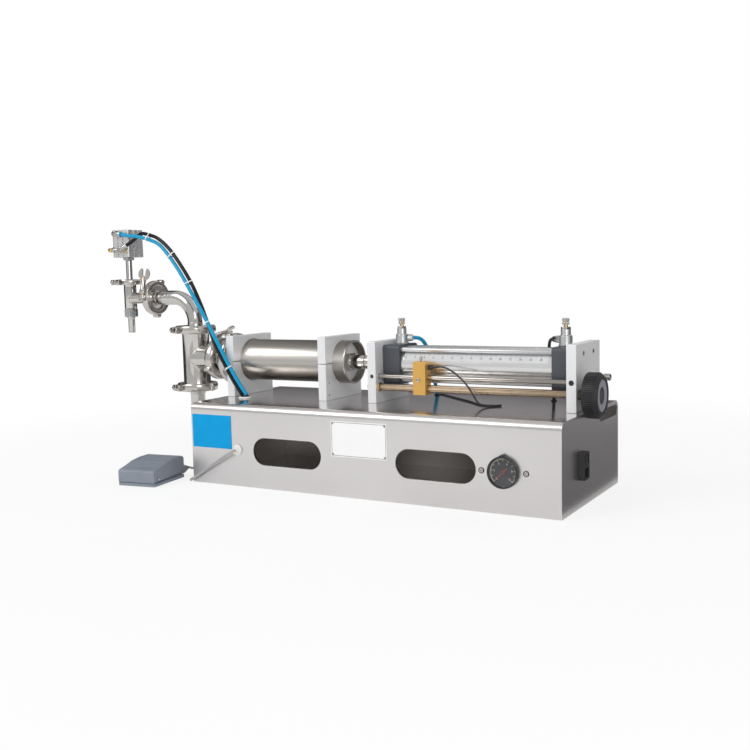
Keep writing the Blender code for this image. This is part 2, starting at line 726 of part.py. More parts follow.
def valve_group():
    """Head, tee, inlet and elbow, joined by clamps, with the two check valves."""
    hollow = branch_radius - tee_wall
    outline = ([(product_bore / 2, 0)] + ferrule(head_rim, head_rim - 0.006, 0.0095)
               + [(branch_radius, 0.030), (branch_radius, head_length - rim - taper),
                  (branch_rim - 0.0045, head_length - rim - taper), (branch_rim, head_length - rim),
                  (branch_rim, head_length), (hollow, head_length), (hollow, 0.031),
                  (product_bore / 2, 0.008)])
    piece("cylinder_head", turned(outline), polished, (ferrule_x - face_gap, axis_y, axis_z),
          (0, -quarter, 0))

    length = 2 * tee_half_height
    upper = [(r, length - h) for r, h in ferrule(tee_rim, tee_radius, length / 2)]
    outline = ferrule(tee_rim, tee_radius, length / 2) + upper[-2::-1] + [(0, length), (0, 0)]
    tee = piece("tee_body", turned(outline), polished, (tee_x, axis_y, tee_bottom))
    arm = ([(0, 0), (branch_radius, 0), (branch_radius, branch_length - rim - taper),
            (branch_rim - 0.0045, branch_length - rim - taper), (branch_rim, branch_length - rim),
            (branch_rim, branch_length), (0, branch_length)])
    join(tee, tool(turned(arm), (tee_x, axis_y, axis_z), (0, quarter, 0)))
    bore = tee_radius - tee_wall
    seat = length - 0.024
    well = turned([(0, -through), (bore, -through), (bore, seat), (0.017, seat + 0.002),
                   (0.017, seat + 0.004), (bore, seat + 0.006), (bore, length + through),
                   (0, length + through)], 22)
    cut(tee, tool(well, (tee_x, axis_y, tee_bottom)),
        tool(rod(hollow, branch_length + through, 0, 20), (tee_x, axis_y, axis_z), (0, quarter, 0)))

    cone = [(0, 0), (0.021, 0), (0.022, 0.002), (0.022, 0.004), (0.005, 0.007), (0.004, 0.014), (0, 0.014)]
    piece("inlet_check", turned(cone, 14), pale, (tee_x, axis_y, tee_bottom - face_gap + gap))
    piece("outlet_check", turned(cone, 14), pale, (tee_x, axis_y, tee_bottom + seat + 0.0048 + gap))

    inside = pipe_radius - pipe_wall
    outline = [(inside, 0), *ferrule(tee_rim, pipe_radius, inlet_drop), (inside, inlet_drop)]
    outline[4:5] = [(pipe_radius + 0.004, rim + taper + 0.006), (pipe_radius, rim + taper + 0.010)]
    piece("inlet_pipe", turned(outline), polished, (tee_x, axis_y, tee_bottom - face_gap), down)

    low = tee_top + face_gap
    neck = elbow_neck - 0.002
    outline = [(0, 0), *ferrule(tee_rim, pipe_radius + weld_bead, neck), (0, neck)]
    elbow = piece("elbow_pipe", turned(outline), polished, (tee_x, axis_y, low))
    bend = arc((-elbow_bend, elbow_neck), elbow_bend, 0, 90, 6)
    run = [(-elbow_bend - elbow_run + 0.001, elbow_neck + elbow_bend)]
    outer = tool(bent_rod([(0, rim)] + bend + run, pipe_radius), (tee_x, axis_y, low))
    end = tool(turned([(0, 0), *ferrule(elbow_rim, pipe_radius + weld_bead, 0.008), (0, 0.008)]),
               (elbow_end, axis_y, elbow_z), (0, quarter, 0))
    past = [(-elbow_bend - elbow_run - through, elbow_neck + elbow_bend)]
    inner = tool(bent_rod([(0, -through)] + bend + past, inside, 16), (tee_x, axis_y, low))
    join(elbow, outer, end)
    cut(elbow, inner)


def clamps():
    """Six clamps on the ferrule joints, two of them closed by wing nuts."""
    half = face_gap / 2
    crosswise = (0, quarter, 0)
    lug = math.radians(250)
    pipe_clamp("tee_top_clamp", tee_rim, (tee_x, axis_y, tee_top + half), up, lug, polished)
    pipe_clamp("tee_bottom_clamp", tee_rim, (tee_x, axis_y, tee_bottom - half), up, lug, polished)
    pipe_clamp("branch_clamp", branch_rim, (tee_x + branch_length + half, axis_y, axis_z), crosswise,
               math.radians(190), polished, ("branch_wing_nut", math.radians(35)))
    pipe_clamp("head_clamp", head_rim, (ferrule_x - half, axis_y, axis_z), crosswise,
               math.radians(100), polished)
    pipe_clamp("elbow_clamp", elbow_rim, (elbow_end - half, axis_y, elbow_z), crosswise,
               math.radians(258), polished, ("elbow_wing_nut", math.radians(-60)))
    pipe_clamp("nozzle_clamp", nozzle_rim, (nozzle_x, axis_y, nozzle_top + half), up,
               math.radians(262), polished, width=slim_clamp)


def nozzle():
    """Nozzle body with its side branch, tip, bridge, air cylinder and stem."""
    height = nozzle_above + nozzle_below
    top = [(r, height - h) for r, h in ferrule(nozzle_rim, nozzle_radius, 0.012)]
    outline = [(0, 0), (nozzle_radius, 0)] + top[::-1] + [(0, height)]
    body = piece("nozzle_body", turned(outline), polished, (nozzle_x, axis_y, nozzle_bottom))
    arm = [(0, 0), (0.0125, 0), (0.0125, nozzle_reach - 0.016),
           (elbow_rim - 0.0105, nozzle_reach - 0.008), (elbow_rim - 0.0045, nozzle_reach - rim - taper),
           (elbow_rim, nozzle_reach - rim), (elbow_rim, nozzle_reach), (0, nozzle_reach)]
    join(body, tool(turned(arm), (nozzle_x, axis_y, elbow_z), (0, quarter, 0)))
    bore = nozzle_radius - 0.002
    cut(body, tool(rod(bore, height + 2 * through, -through), (nozzle_x, axis_y, nozzle_bottom)),
        tool(rod(0.0105, nozzle_reach + through), (nozzle_x, axis_y, elbow_z), (0, quarter, 0)))

    nut_top = nozzle_bottom - gap
    tip = piece("nozzle_tip", prism(hexagon(nut_width), nut_height, -nut_height), polished,
                (nozzle_x, axis_y, nut_top))
    spout = tool(rod(tip_radius, tip_length + 0.002, -nut_height - tip_length), (nozzle_x, axis_y, nut_top))
    spigot = tool(rod(bore - gap, 0.012, -0.002), (nozzle_x, axis_y, nut_top))
    mouth = tip_radius - 0.0015
    end = -nut_height - tip_length - through
    flow = tool(turned([(0, end), (mouth, end), (mouth, -nut_height - 0.002),
                        (bore - 0.002, 0.006 - nut_height), (bore - 0.002, 0.012), (0, 0.012)], 12),
                (nozzle_x, axis_y, nut_top))
    join(tip, spout, spigot)
    cut(tip, flow)

    low = nozzle_top + face_gap
    outline = [(stem_radius + running, 0), *ferrule(nozzle_rim, post_radius, post_length - gap),
               (stem_radius + running, post_length - gap)]
    piece("nozzle_bridge", turned(outline), polished, (nozzle_x, axis_y, low))

    side = nozzle_cylinder_side
    block = piece("nozzle_air_cylinder", prism(rectangle(side, side, 0.003, 2), nozzle_cylinder_height),
                  extruded, (nozzle_x, axis_y, post_top))
    for facing in (forward, backward, left, right):
        for k in (-1, 1):
            groove = tool(prism(rectangle(0.003, nozzle_cylinder_height + 2 * through), 0.006))
            groove.parent = block
            groove.rotation_euler = facing
            away = Vector((0, 0, side / 2 - 0.003))
            away.rotate(groove.rotation_euler)
            sideways = Vector((0.0075 * k, 0, 0))
            sideways.rotate(groove.rotation_euler)
            groove.location = away + sideways + Vector((0, 0, nozzle_cylinder_height / 2))
            cut(block, groove)
    cavity = nozzle_lift + 0.010
    cut(block, tool(rod(stem_radius + running, 0.030, -through, 12), (nozzle_x, axis_y, post_top)),
        tool(rod(0.0125, cavity, 0.012), (nozzle_x, axis_y, post_top)))
    fittings(block)

    piston_z = post_top + 0.013
    seat_z = nut_top - nut_height - tip_length + 0.004
    outline = [(0, 0), (mouth - running, 0), (mouth - running, 0.006),
               (stem_radius, 0.009), (stem_radius, piston_z - seat_z), (0.0125 - running, piston_z - seat_z),
               (0.0125 - running, piston_z - seat_z + 0.008), (0, piston_z - seat_z + 0.008)]
    piece("nozzle_stem", turned(outline, 12), polished, (nozzle_x, axis_y, seat_z))


def fittings(block):
    """Two push-in fittings and a throttle screw on the nozzle cylinder's front."""
    face = axis_y - nozzle_cylinder_side / 2
    for place in (high_fitting, low_fitting):
        join(block, tool(turned([(0, -0.002), (0.005, -0.002), (0.005, 0.006), (0.0072, 0.008),
                                 (0.0072, 0.015), (0.006, 0.0165), (0, 0.0165)], 11),
                         (place[0], face, place[2]), forward))
    join(block, tool(rod(0.0062, high_reach + 0.005, -0.005, 10), high_fitting, (0, quarter + high_dip, 0)),
         tool(rod(0.0058, low_reach, sides=10), low_fitting, (0, quarter - low_angle, low_turn)),
         tool(turned([(0, 0), (0.0042, 0), (0.0042, 0.014), (0.0062, 0.015), (0.0062, 0.021),
                      (0.0035, 0.022), (0.0035, 0.024), (0.005, 0.025), (0.0045, 0.034), (0, 0.035)], 9),
              low_fitting, (0, -quarter, 0)))


def hoses():
    """Two air hoses to the nozzle's cylinder and one to the front cap's valve."""
    def along(fitting, reach, rise, turn):
        flat = reach * math.cos(rise)
        return (fitting[0] + flat * math.cos(turn), fitting[1] + flat * math.sin(turn),
                fitting[2] + reach * math.sin(rise))

    blue_start = along(high_fitting, high_reach + gap, -high_dip, 0)
    line("blue_hose", [blue_start, (-0.6734, -0.0160, 0.5077), (-0.6433, -0.0175, 0.5043),
                       (-0.6077, -0.0210, 0.4962), (-0.5728, -0.0260, 0.4831), (-0.5400, -0.0320, 0.4560),
                       (-0.5075, -0.0380, 0.4219), (-0.4770, -0.0440, 0.3841), (-0.4553, -0.0480, 0.3562),
                       (-0.4306, -0.0520, 0.3225), (-0.3894, -0.0580, 0.2621), (-0.3525, -0.0610, 0.2065),
                       (-0.3226, -0.0610, 0.1664)], hose, blue)
    dark_start = along(low_fitting, low_reach + gap, low_angle, low_turn)
    line("black_hose", [dark_start, (-0.6655, -0.0034, 0.5004), (-0.6500, -0.0065, 0.5085),
                        (-0.6350, -0.0105, 0.5112),
                        (-0.6170, -0.0140, 0.5078), (-0.5825, -0.0215, 0.4985), (-0.5468, -0.0265, 0.4752),
                        (-0.5109, -0.0325, 0.4395), (-0.4802, -0.0350, 0.3989), (-0.4546, -0.0382, 0.3553),
                        (-0.4304, -0.0450, 0.3116), (-0.4056, -0.0546, 0.2691), (-0.3784, -0.0587, 0.2277),
                        (-0.3540, -0.0610, 0.1930),
                        (-0.3336, -0.0612, 0.1664)], hose, dark_hose)
    port_x = tube_start - port_inset
    level = axis_z + cap_side / 2 + gap + 0.011
    turn = math.radians(40)
    seated, outside = [(port_x + reach * math.cos(turn), axis_y + reach * math.sin(turn), level)
                       for reach in (0.0144, 0.0230)]
    line("front_air_hose", [seated, outside, (port_x + 0.0230, 0.0450, level - 0.0015),
                            (port_x + 0.0260, 0.0580, level - 0.0075), (port_x + 0.0280, 0.0700, 0.2620),
                            (port_x + 0.0290, 0.0800, 0.2430), (0.0300, 0.0880, 0.2200),
                            (0.0302, 0.0960, 0.1990), (0.0300, 0.1060, 0.1770), (*air_hose_hole, 0.1602)],
         valve_hose, blue, 1.15)


def sensor_cable():
    """Sensor lead: up from the deck, over the rods, to the reed sensor."""
    x = sensor_start + sensor_length + gap
    line("sensor_cable", [(x, sensor_y, sensor_z), (0.1085, -0.0290, 0.2326), (0.1259, -0.0340, 0.2292),
                          (0.1480, -0.0420, 0.2188), (0.1656, -0.0490, 0.2068), (0.1759, -0.0520, 0.1965),
                          (0.1835, -0.0515, 0.1843), (0.1880, -0.0470, 0.1735), (0.1915, -0.0375, 0.1657),
                          (0.1975, -0.0255, 0.1626), (0.2065, -0.0155, 0.1620), (*cable_hole, 0.1620)],
         0.0035, dark_cord, 3.0)


def pedal():
    """Foot switch: base with its pin and gland, and the treadle that turns on the pin."""
    def at(x, y, z):
        c, s = math.cos(pedal_turn), math.sin(pedal_turn)
        return (pedal_place[0] + c * x - s * y, pedal_place[1] + s * x + c * y, z)

    turn = (0, 0, pedal_turn)
    half = pedal_depth / 2
    body = piece("pedal_base", prism(rectangle(pedal_width, pedal_depth, 0.004, 2), pedal_ledge),
                 pedal_paint, at(0, 0, 0), turn)
    core_width = pedal_width - 2 * pedal_wall - 0.006
    core = tool(prism(rectangle(core_width, pedal_depth - 0.022), 0.008, pedal_ledge - 0.001),
                at(0, 0, 0), turn)
    pin_y, pin_z = -half + 0.016, 0.0135
    side_on = (quarter, 0, quarter + pedal_turn)
    pin = tool(rod(pedal_pin_radius, pedal_width - 0.002, -pedal_width / 2 + 0.001, 8),
               at(0, pin_y, pin_z), side_on)
    back_on = (quarter, 0, math.pi + pedal_turn)
    gland = tool(turned([(0, -0.012), (0.007, -0.012), (0.007, 0.003), (0.009, 0.004), (0.009, 0.016),
                         (0.0065, 0.026), (0, 0.026)], 12), at(pedal_gland_x, half, 0.0125), back_on)
    neck = tool(prism(rectangle(0.016, 0.0165), 0.014, -0.013), at(pedal_gland_x, half, 0.00825), back_on)
    pocket = tool(rod(cord / 2 + gap, 0.008, 0.020, 8), at(pedal_gland_x, half, 0.0125), back_on)
    join(body, core, pin, neck, gland)
    cut(body, pocket)

    def profile(inset):
        top = pedal_back - inset
        crown = [(half - inset, top - 0.004), (half - inset - 0.006, top)]
        rise = [(half * 0.35, top), (-half * 0.15, top - 0.003), (-half * 0.6, top - 0.0095)]
        return ([(-half + inset, pedal_ledge + 0.001 - 3 * inset)]
                + [(half - inset, pedal_ledge + 0.0075 - 3 * inset)] + crown + rise
                + [(-half + 0.004 + inset, pedal_front - inset),
                   (-half + inset, pedal_front - 0.003 - inset)])

    across = pedal_width - 0.002
    treadle = piece("treadle", prism(profile(0), across, -across / 2), pedal_paint, at(0, 0, 0), side_on)
    treadle.location = at(0, pin_y, pin_z)
    mesh = treadle.data
    for vertex in mesh.vertices:
        vertex.co.x -= pin_y
        vertex.co.y -= pin_z
    inside = tool(prism(profile(pedal_wall), across - 2 * pedal_wall, -across / 2 + pedal_wall),
                  at(0, 0, 0), side_on)
    eyes = tool(rod(pedal_pin_radius + running, pedal_width + 2 * through, -pedal_width / 2 - through, 8),
                at(0, pin_y, pin_z), side_on)
    notch = tool(prism(rectangle(0.0195, 0.035), 0.010, -0.005), at(pedal_gland_x, half, 0.010), back_on)
    cut(treadle, inside, eyes, notch)


def pedal_cord():
    """The pedal's cord: out of the base, down its front, round its left end and into the pedal."""
    start = (base_left + cord_from_end, front + 0.002, fitting_rise)
    c, s = math.cos(pedal_turn), math.sin(pedal_turn)
    half = pedal_depth / 2 + 0.0203
    gland = (pedal_place[0] + c * pedal_gland_x - s * half,
             pedal_place[1] + s * pedal_gland_x + c * half, 0.0125)
    line("pedal_cord", [start, (-0.2730, -0.1680, 0.0720), (-0.2775, -0.1755, 0.0697),
                        (-0.2880, -0.1770, 0.0635), (-0.3050, -0.1755, 0.0535), (-0.3300, -0.1730, 0.0390),
                        (-0.3550, -0.1705, 0.0240), (-0.3770, -0.1685, 0.0105), (-0.3900, -0.1655, 0.0040),
                        (-0.4000, -0.1480, 0.0027), (-0.4040, -0.1100, 0.0027), (-0.4025, -0.0600, 0.0027),
                        (-0.4060, -0.0200, 0.0027), (-0.4143, 0.0050, 0.0027), (-0.4200, 0.0400, 0.0027),
                        (-0.4550, 0.0700, 0.0027), (-0.4950, 0.0500, 0.0027), (-0.5060, 0.0050, 0.0027),
                        (-0.4950, -0.0320, 0.0027), (-0.4720, -0.0560, 0.0035),
                        (gland[0] - s * 0.032, gland[1] + c * 0.032, 0.0075),
                        (gland[0] - s * 0.020, gland[1] + c * 0.020, 0.0115),
                        (gland[0] - s * 0.010, gland[1] + c * 0.010, 0.0125), gland],
         cord, grey_cord, 2.5)
    wide, tall = 0.0053, 0.0106
    ring = turned([(cord_coil_radius - wide, gap), (cord_coil_radius + wide, gap),
                   (cord_coil_radius + wide, tall), (cord_coil_radius - wide, tall)], 20)
    piece("pedal_cord_coil", ring, grey_cord, (*cord_coil_place, 0))


base()
gauge()
power_inlet()
grommets()
plates()
product_cylinder()
air_cylinder()
stroke_adjuster()
valve_group()
clamps()
nozzle()
hoses()
sensor_cable()
pedal()
pedal_cord()
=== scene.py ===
# Piston liquid filler, dressed for a product picture: pale studio, real finishes on every piece.
import math

import bmesh
import bpy
from mathutils import Euler, Matrix, Vector


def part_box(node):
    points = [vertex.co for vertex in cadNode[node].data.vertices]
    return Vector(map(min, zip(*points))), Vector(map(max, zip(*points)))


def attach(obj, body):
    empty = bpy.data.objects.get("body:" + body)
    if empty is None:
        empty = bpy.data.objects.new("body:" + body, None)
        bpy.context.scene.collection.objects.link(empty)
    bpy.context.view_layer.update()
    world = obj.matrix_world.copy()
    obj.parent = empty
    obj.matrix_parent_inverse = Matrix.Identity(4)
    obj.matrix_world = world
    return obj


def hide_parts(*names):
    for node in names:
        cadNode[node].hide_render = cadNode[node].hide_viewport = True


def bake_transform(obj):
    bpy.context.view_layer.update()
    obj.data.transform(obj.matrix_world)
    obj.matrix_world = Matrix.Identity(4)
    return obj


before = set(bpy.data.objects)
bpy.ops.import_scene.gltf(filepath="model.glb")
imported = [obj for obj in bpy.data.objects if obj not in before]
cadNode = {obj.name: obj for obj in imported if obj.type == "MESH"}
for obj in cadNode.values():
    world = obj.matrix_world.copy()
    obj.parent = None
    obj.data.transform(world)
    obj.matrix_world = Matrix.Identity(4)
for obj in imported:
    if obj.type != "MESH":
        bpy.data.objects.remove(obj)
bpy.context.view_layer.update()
print("frame is in")

quarter = math.pi / 2
upward = (0, 0, 0)
downward = (math.pi, 0, 0)
rightward = (quarter, 0, quarter)
leftward = (quarter, 0, -quarter)
forward = (quarter, 0, 0)
alongX = (0, quarter, 0)
gap = 0.0003  # between pieces that seat on each other


def placed(name, data):
    # a new object of the scene that holds this mesh, curve, lamp or camera
    thing = bpy.data.objects.new(name, data)
    bpy.context.scene.collection.objects.link(thing)
    return thing


# camera
cameraSet = {"place": (0.9062, -1.6483, 0.4000), "yaw": 29.797, "pitch": 5.574, "roll": 1.358,
             "lens": 46.61, "sideShift": -0.0078, "upShift": -0.0030}


def addCamera():
    yaw, pitch, roll = (math.radians(cameraSet[k]) for k in ("yaw", "pitch", "roll"))
    ahead = Vector((-math.sin(yaw) * math.cos(pitch), math.cos(yaw) * math.cos(pitch), -math.sin(pitch)))
    across = Vector((math.cos(yaw), math.sin(yaw), 0))
    below = ahead.cross(across)
    side = math.cos(roll) * across + math.sin(roll) * below
    under = math.cos(roll) * below - math.sin(roll) * across
    turn = Matrix((side, -under, -ahead)).transposed()
    camera = placed("camera", bpy.data.cameras.new("camera"))
    camera.matrix_world = Matrix.Translation(cameraSet["place"]) @ turn.to_4x4()
    camera.data.sensor_width = 36
    camera.data.lens = cameraSet["lens"]
    camera.data.shift_x = cameraSet["sideShift"]
    camera.data.shift_y = cameraSet["upShift"]
    camera.data.clip_start = 0.05
    bpy.context.scene.camera = camera


addCamera()
bpy.context.scene.view_settings.view_transform = "Standard"


# shader writing
class Wire:  # a socket that takes part in sums
    def __init__(self, graph, socket):
        self.graph = graph
        self.socket = socket

    def __add__(self, other):
        return self.graph.maths("ADD", self, other)

    def __radd__(self, other):
        return self.graph.maths("ADD", other, self)

    def __sub__(self, other):
        return self.graph.maths("SUBTRACT", self, other)

    def __rsub__(self, other):
        return self.graph.maths("SUBTRACT", other, self)

    def __mul__(self, other):
        return self.graph.maths("MULTIPLY", self, other)

    def __rmul__(self, other):
        return self.graph.maths("MULTIPLY", other, self)


class Graph:  # the nodes of one material, or of the world
    def __init__(self, owner):
        owner.use_nodes = True
        self.owner = owner
        self.tree = owner.node_tree
        self.shader = self.tree.nodes.get("Principled BSDF")

    def feed(self, socket, value):
        if isinstance(value, Wire):
            self.tree.links.new(value.socket, socket)
        elif hasattr(socket.default_value, "__len__"):
            size = len(socket.default_value)
            socket.default_value = (*value, 1)[:size] if hasattr(value, "__len__") else (value,) * size
        else:
            socket.default_value = value

    def node(self, kind, settings, values, take=None):
        made = self.tree.nodes.new("ShaderNode" + kind)
        for key, value in settings.items():
            setattr(made, key, value)
        for key, value in values.items():
            socket = made.inputs[key] if isinstance(key, int) else next(
                s for s in made.inputs if s.name == key and s.enabled)
            self.feed(socket, value)
        outputs = [s for s in made.outputs if s.enabled and take in (None, s.name)]
        return Wire(self, outputs[0])

    def maths(self, operation, first, second=0.0):
        wide = any(isinstance(x, Wire) and x.socket.type != "VALUE" for x in (first, second))
        kind = "VectorMath" if wide else "Math"
        return self.node(kind, {"operation": operation}, {0: first, 1: second})

    def blend(self, share, first, second):
        return self.node("Mix", {"data_type": "RGBA"}, {"Factor": share, "A": first, "B": second})

    def place(self):  # metres, in the piece's own frame
        return self.node("TexCoord", {}, {}, "Object")

    def noise(self, where, scale, detail=2.0, rough=0.5):
        return self.node("TexNoise", {}, {"Vector": where, "Scale": scale, "Detail": detail,
                                          "Roughness": rough}, "Fac")

    def parts(self, vector):
        made = self.tree.nodes.new("ShaderNodeSeparateXYZ")
        self.feed(made.inputs[0], vector)
        return [Wire(self, s) for s in made.outputs]

    def slant(self):  # the true normal's three parts
        return self.parts(self.node("NewGeometry", {}, {}, "True Normal"))

    def bump(self, height, strength, distance):
        self.feed(self.shader.inputs["Normal"],
                  self.node("Bump", {}, {"Height": height, "Strength": strength, "Distance": distance}))

    def look(self, **values):
        for key, value in values.items():
            self.feed(self.shader.inputs[key.replace("_", " ")], value)


def material(name, **constants):
    graph = Graph(bpy.data.materials.new(name))
    graph.look(**constants)
    return graph


def shades(colour, down, up, lift=0.0):
    # a darker and a brighter tone of one colour
    return tuple(c * down for c in colour), tuple(min(1.0, c * up + lift) for c in colour)


def grained(name, colour, rough, stretch, depth=0.00006, spread=0.10, metal=1.0, tone=0.10, **more):
    # metal with a ground or brushed grain; stretch is small along the grain
    g = material(name, Metallic=metal, **more)
    where = g.place()
    grain = g.noise(where * stretch, 1.0, 3.0, 0.6)
    patch = g.noise(where, 14.0, 2.0)
    shade = grain * 0.6 + patch * 0.4
    g.look(Base_Color=g.blend(shade, *shades(colour, 1 - tone, 1 + tone)),
           Roughness=shade * spread + (rough - spread / 2))
    g.bump(grain, 0.25, depth)
    return g.owner


def moulded(name, colour, rough, scale=900.0, depth=0.00008, tone=0.10, metal=0.0, **more):
    # plastic, rubber or paint with a fine texture and a little wear
    g = material(name, Metallic=metal, **more)
    where = g.place()
    pores = g.noise(where, scale, 2.0)
    cloud = g.noise(where, 25.0, 3.0)
    g.look(Base_Color=g.blend(cloud, *shades(colour, 1 - tone, 1 + tone, 0.004)),
           Roughness=pores * 0.10 + cloud * 0.08 + (rough - 0.09))
    g.bump(pores, 0.35, depth)
    return g.owner


def coverSteel():
    # satin front with a level grain, deck close to a mirror, painted shade on the bends to dim their
    # highlight, warm inner faces
    g = material("coverSteel", Metallic=1.0)
    where = g.place()
    lines = g.noise(where * (900, 900, 6), 1.0, 3.0, 0.6)
    soft = g.noise(where, 5.0, 3.0)
    normal = g.slant()
    tilt = g.maths("MAXIMUM", normal[2], 0.0)
    top = g.maths("POWER", tilt, 6.0)
    across, height, _ = g.parts(where)
    lining = 0.1588  # inner faces lie inside this, from the middle and from the floor
    depth = g.maths("LESS_THAN", g.maths("ABSOLUTE", across), lining)
    inside = depth * g.maths("LESS_THAN", height, lining)
    satin = lines * 0.14 + soft * 0.06 + 0.24
    mirror = soft * 0.06 + lines * 0.03 + 0.11
    bright = g.blend(soft * 0.7 + lines * 0.3, (0.70, 0.68, 0.67), (0.84, 0.82, 0.81))
    # painted shade: the colour darkens where the face turns from upright to level, so the lamp's highlight on
    # the bend reads dimmer
    bright = g.blend(tilt * (1 - tilt) * 2.6, bright, (0.30, 0.29, 0.285))
    wall = g.maths("GREATER_THAN", g.maths("ABSOLUTE", normal[0]), 0.5)
    g.look(Base_Color=g.blend(inside * (1 - wall), bright, (0.72, 0.68, 0.66)),
           Roughness=satin * (1 - top) + mirror * top)
    g.bump(lines, 0.12, 0.00005)
    return g.owner


def honedSteel():
    # ground tube: the grain runs round it, and a painted reflection makes its colour dark above and below a
    # bright band just over its middle line
    g = material("cylinderSteel", Metallic=1.0)
    where = g.place()
    grain = g.noise(where * (1500, 14, 14), 1.0, 3.0, 0.6)
    # painted reflection and shade: the base colour follows the normal's height, bright facing a little upward
    # and dark towards the top and the bottom
    height = g.slant()[2]
    away = g.maths("ABSOLUTE", height - 0.20)
    band = g.maths("POWER", g.maths("MAXIMUM", 1 - away, 0.0), 1.7)
    g.look(Base_Color=g.blend(band * 0.9 + grain * 0.1, (0.17, 0.15, 0.13), (0.74, 0.71, 0.67)),
           Roughness=grain * 0.12 + 0.24)
    g.bump(grain, 0.25, 0.00006)
    return g.owner


def threadBrass():
    # turned brass rod with a fine thread cut along X
    g = material("threadBrass", Metallic=1.0)
    where = g.place()
    pitch = 0.002
    ridge = g.maths("SINE", g.parts(where)[0] * (2 * math.pi / pitch))
    cloud = g.noise(where, 60.0, 3.0)
    # the thread wave also tints the base colour: painted shade in the grooves and painted highlight on the
    # crests
    g.look(Base_Color=g.blend(cloud * 0.5 + ridge * 0.2 + 0.2, (0.20, 0.15, 0.105), (0.60, 0.47, 0.33)),
           Roughness=cloud * 0.15 + 0.22)
    g.bump(ridge, 0.5, 0.0004)
    return g.owner


def hoseSkin(name, colour, rough):
    # smooth drawn tube, a little cloudy
    g = material(name, Coat_Weight=0.05, Coat_Roughness=0.12, Specular_IOR_Level=0.30)
    where = g.place()
    cloud = g.noise(where, 40.0, 2.0)
    fine = g.noise(where, 500.0, 2.0)
    g.look(Base_Color=g.blend(cloud, *shades(colour, 0.88, 1.08)),
           Roughness=fine * 0.12 + rough)
    g.bump(fine, 0.15, 0.00005)
    return g.owner


steelCover = coverSteel()
steelPolished = grained("polishedSteel", (0.62, 0.605, 0.585), 0.13, (60, 60, 900), 0.00003, 0.07)
steelTurned = grained("turnedSteel", (0.52, 0.50, 0.475), 0.20, (40, 40, 1400), 0.00004, 0.10)
steelCylinder = honedSteel()
steelCast = grained("clampSteel", (0.60, 0.57, 0.54), 0.20, (250, 250, 250), 0.00010, 0.12)
plateAlloy = grained("plateAlloy", (0.86, 0.865, 0.875), 0.42, (500, 30, 500), 0.00005, 0.10, 0.35, 0.05)
tubeAlloy = grained("tubeAlloy", (0.80, 0.80, 0.80), 0.26, (900, 900, 8), 0.00004, 0.08, 0.85, 0.05)
drawnAlloy = grained("drawnAlloy", (0.60, 0.605, 0.61), 0.30, (900, 900, 10), 0.00004, 0.10, 0.8, 0.08)
capAlloy = moulded("capAlloy", (0.085, 0.092, 0.105), 0.42, 1500.0, 0.00010, 0.12, 0.35)
rodSteel = grained("rodSteel", (0.56, 0.54, 0.52), 0.16, (20, 20, 1800), 0.00002, 0.05)
guideSteel = grained("guideSteel", (0.40, 0.37, 0.345), 0.16, (20, 20, 1800), 0.00002, 0.06)
goldAlloy = grained("goldAlloy", (0.80, 0.47, 0.13), 0.32, (600, 40, 40), 0.00005, 0.10, 0.75, 0.08)
brassPlain = grained("brassPlain", (0.72, 0.52, 0.25), 0.22, (60, 60, 1200), 0.00005, 0.10)
brassThread = threadBrass()
blackPlastic = moulded("blackPlastic", (0.022, 0.022, 0.024), 0.42)
wheelFace = moulded("wheelFace", (0.25, 0.25, 0.29), 0.45, 700.0)
whitePlastic = moulded("whitePlastic", (0.80, 0.80, 0.78), 0.40)
palePlastic = moulded("pistonPlastic", (0.78, 0.78, 0.76), 0.38)
blueSkin = hoseSkin("blueHose", (0.001, 0.33, 0.58), 0.30)
blackSkin = hoseSkin("blackHose", (0.008, 0.008, 0.010), 0.30)
greyCord = moulded("greyCord", (0.42, 0.415, 0.41), 0.50, 700.0)
darkCord = moulded("darkCord", (0.045, 0.043, 0.045), 0.48, 700.0)
pedalPaint = moulded("pedalPaint", (0.255, 0.285, 0.335), 0.46, 1100.0, 0.00016, 0.14, 0.15)
redPaint = moulded("redPaint", (0.62, 0.03, 0.02), 0.38)
dialDark = moulded("dialDark", (0.018, 0.020, 0.028), 0.50)
dialPale = moulded("dialPale", (0.90, 0.88, 0.62), 0.50)
figurePale = moulded("figurePale", (0.88, 0.92, 0.95), 0.50)
ruleFilm = moulded("ruleFilm", (0.66, 0.67, 0.68), 0.52)
inkBlack = moulded("inkBlack", (0.02, 0.02, 0.02), 0.45)
blueFilm = moulded("blueFilm", (0.001, 0.34, 0.72), 0.40, 400.0, 0.00003, 0.06, Specular_IOR_Level=0.12)
plateFilm = grained("namePlate", (0.93, 0.93, 0.93), 0.45, (900, 20, 900), 0.00003, 0.08, 0.0, 0.03)
sealBlack = moulded("sealBlack", (0.018, 0.018, 0.018), 0.50)
tieWhite = moulded("tieWhite", (0.82, 0.82, 0.80), 0.36)
print("finishes are mixed")


# shapes
def corners(outline, size, steps=2):
    # rounds an outline's corners a little, leaving points on the axis alone
    made = []
    for k, corner in enumerate(outline):
        here = Vector(corner)
        back = Vector(outline[k - 1]) - here
        on = Vector(outline[(k + 1) % len(outline)]) - here
        if here.x < 1e-6 and back.x * on.x == 0 or back.length < 1e-6 or on.length < 1e-6 \
                or back.angle(on) > math.radians(168):
            made.append(tuple(here))
            continue
        reach = min(size, 0.4 * back.length, 0.4 * on.length)
        start, end = here + back.normalized() * reach, here + on.normalized() * reach
        for n in range(steps + 1):
            t = n / steps
            made.append(tuple((1 - t) ** 2 * start + 2 * t * (1 - t) * here + t * t * end))
    return made


def arc(centre, radius, start, end, steps):
    angles = [math.radians(start + (end - start) * k / steps) for k in range(steps + 1)]
    return [(centre[0] + radius * math.cos(a), centre[1] + radius * math.sin(a)) for a in angles]


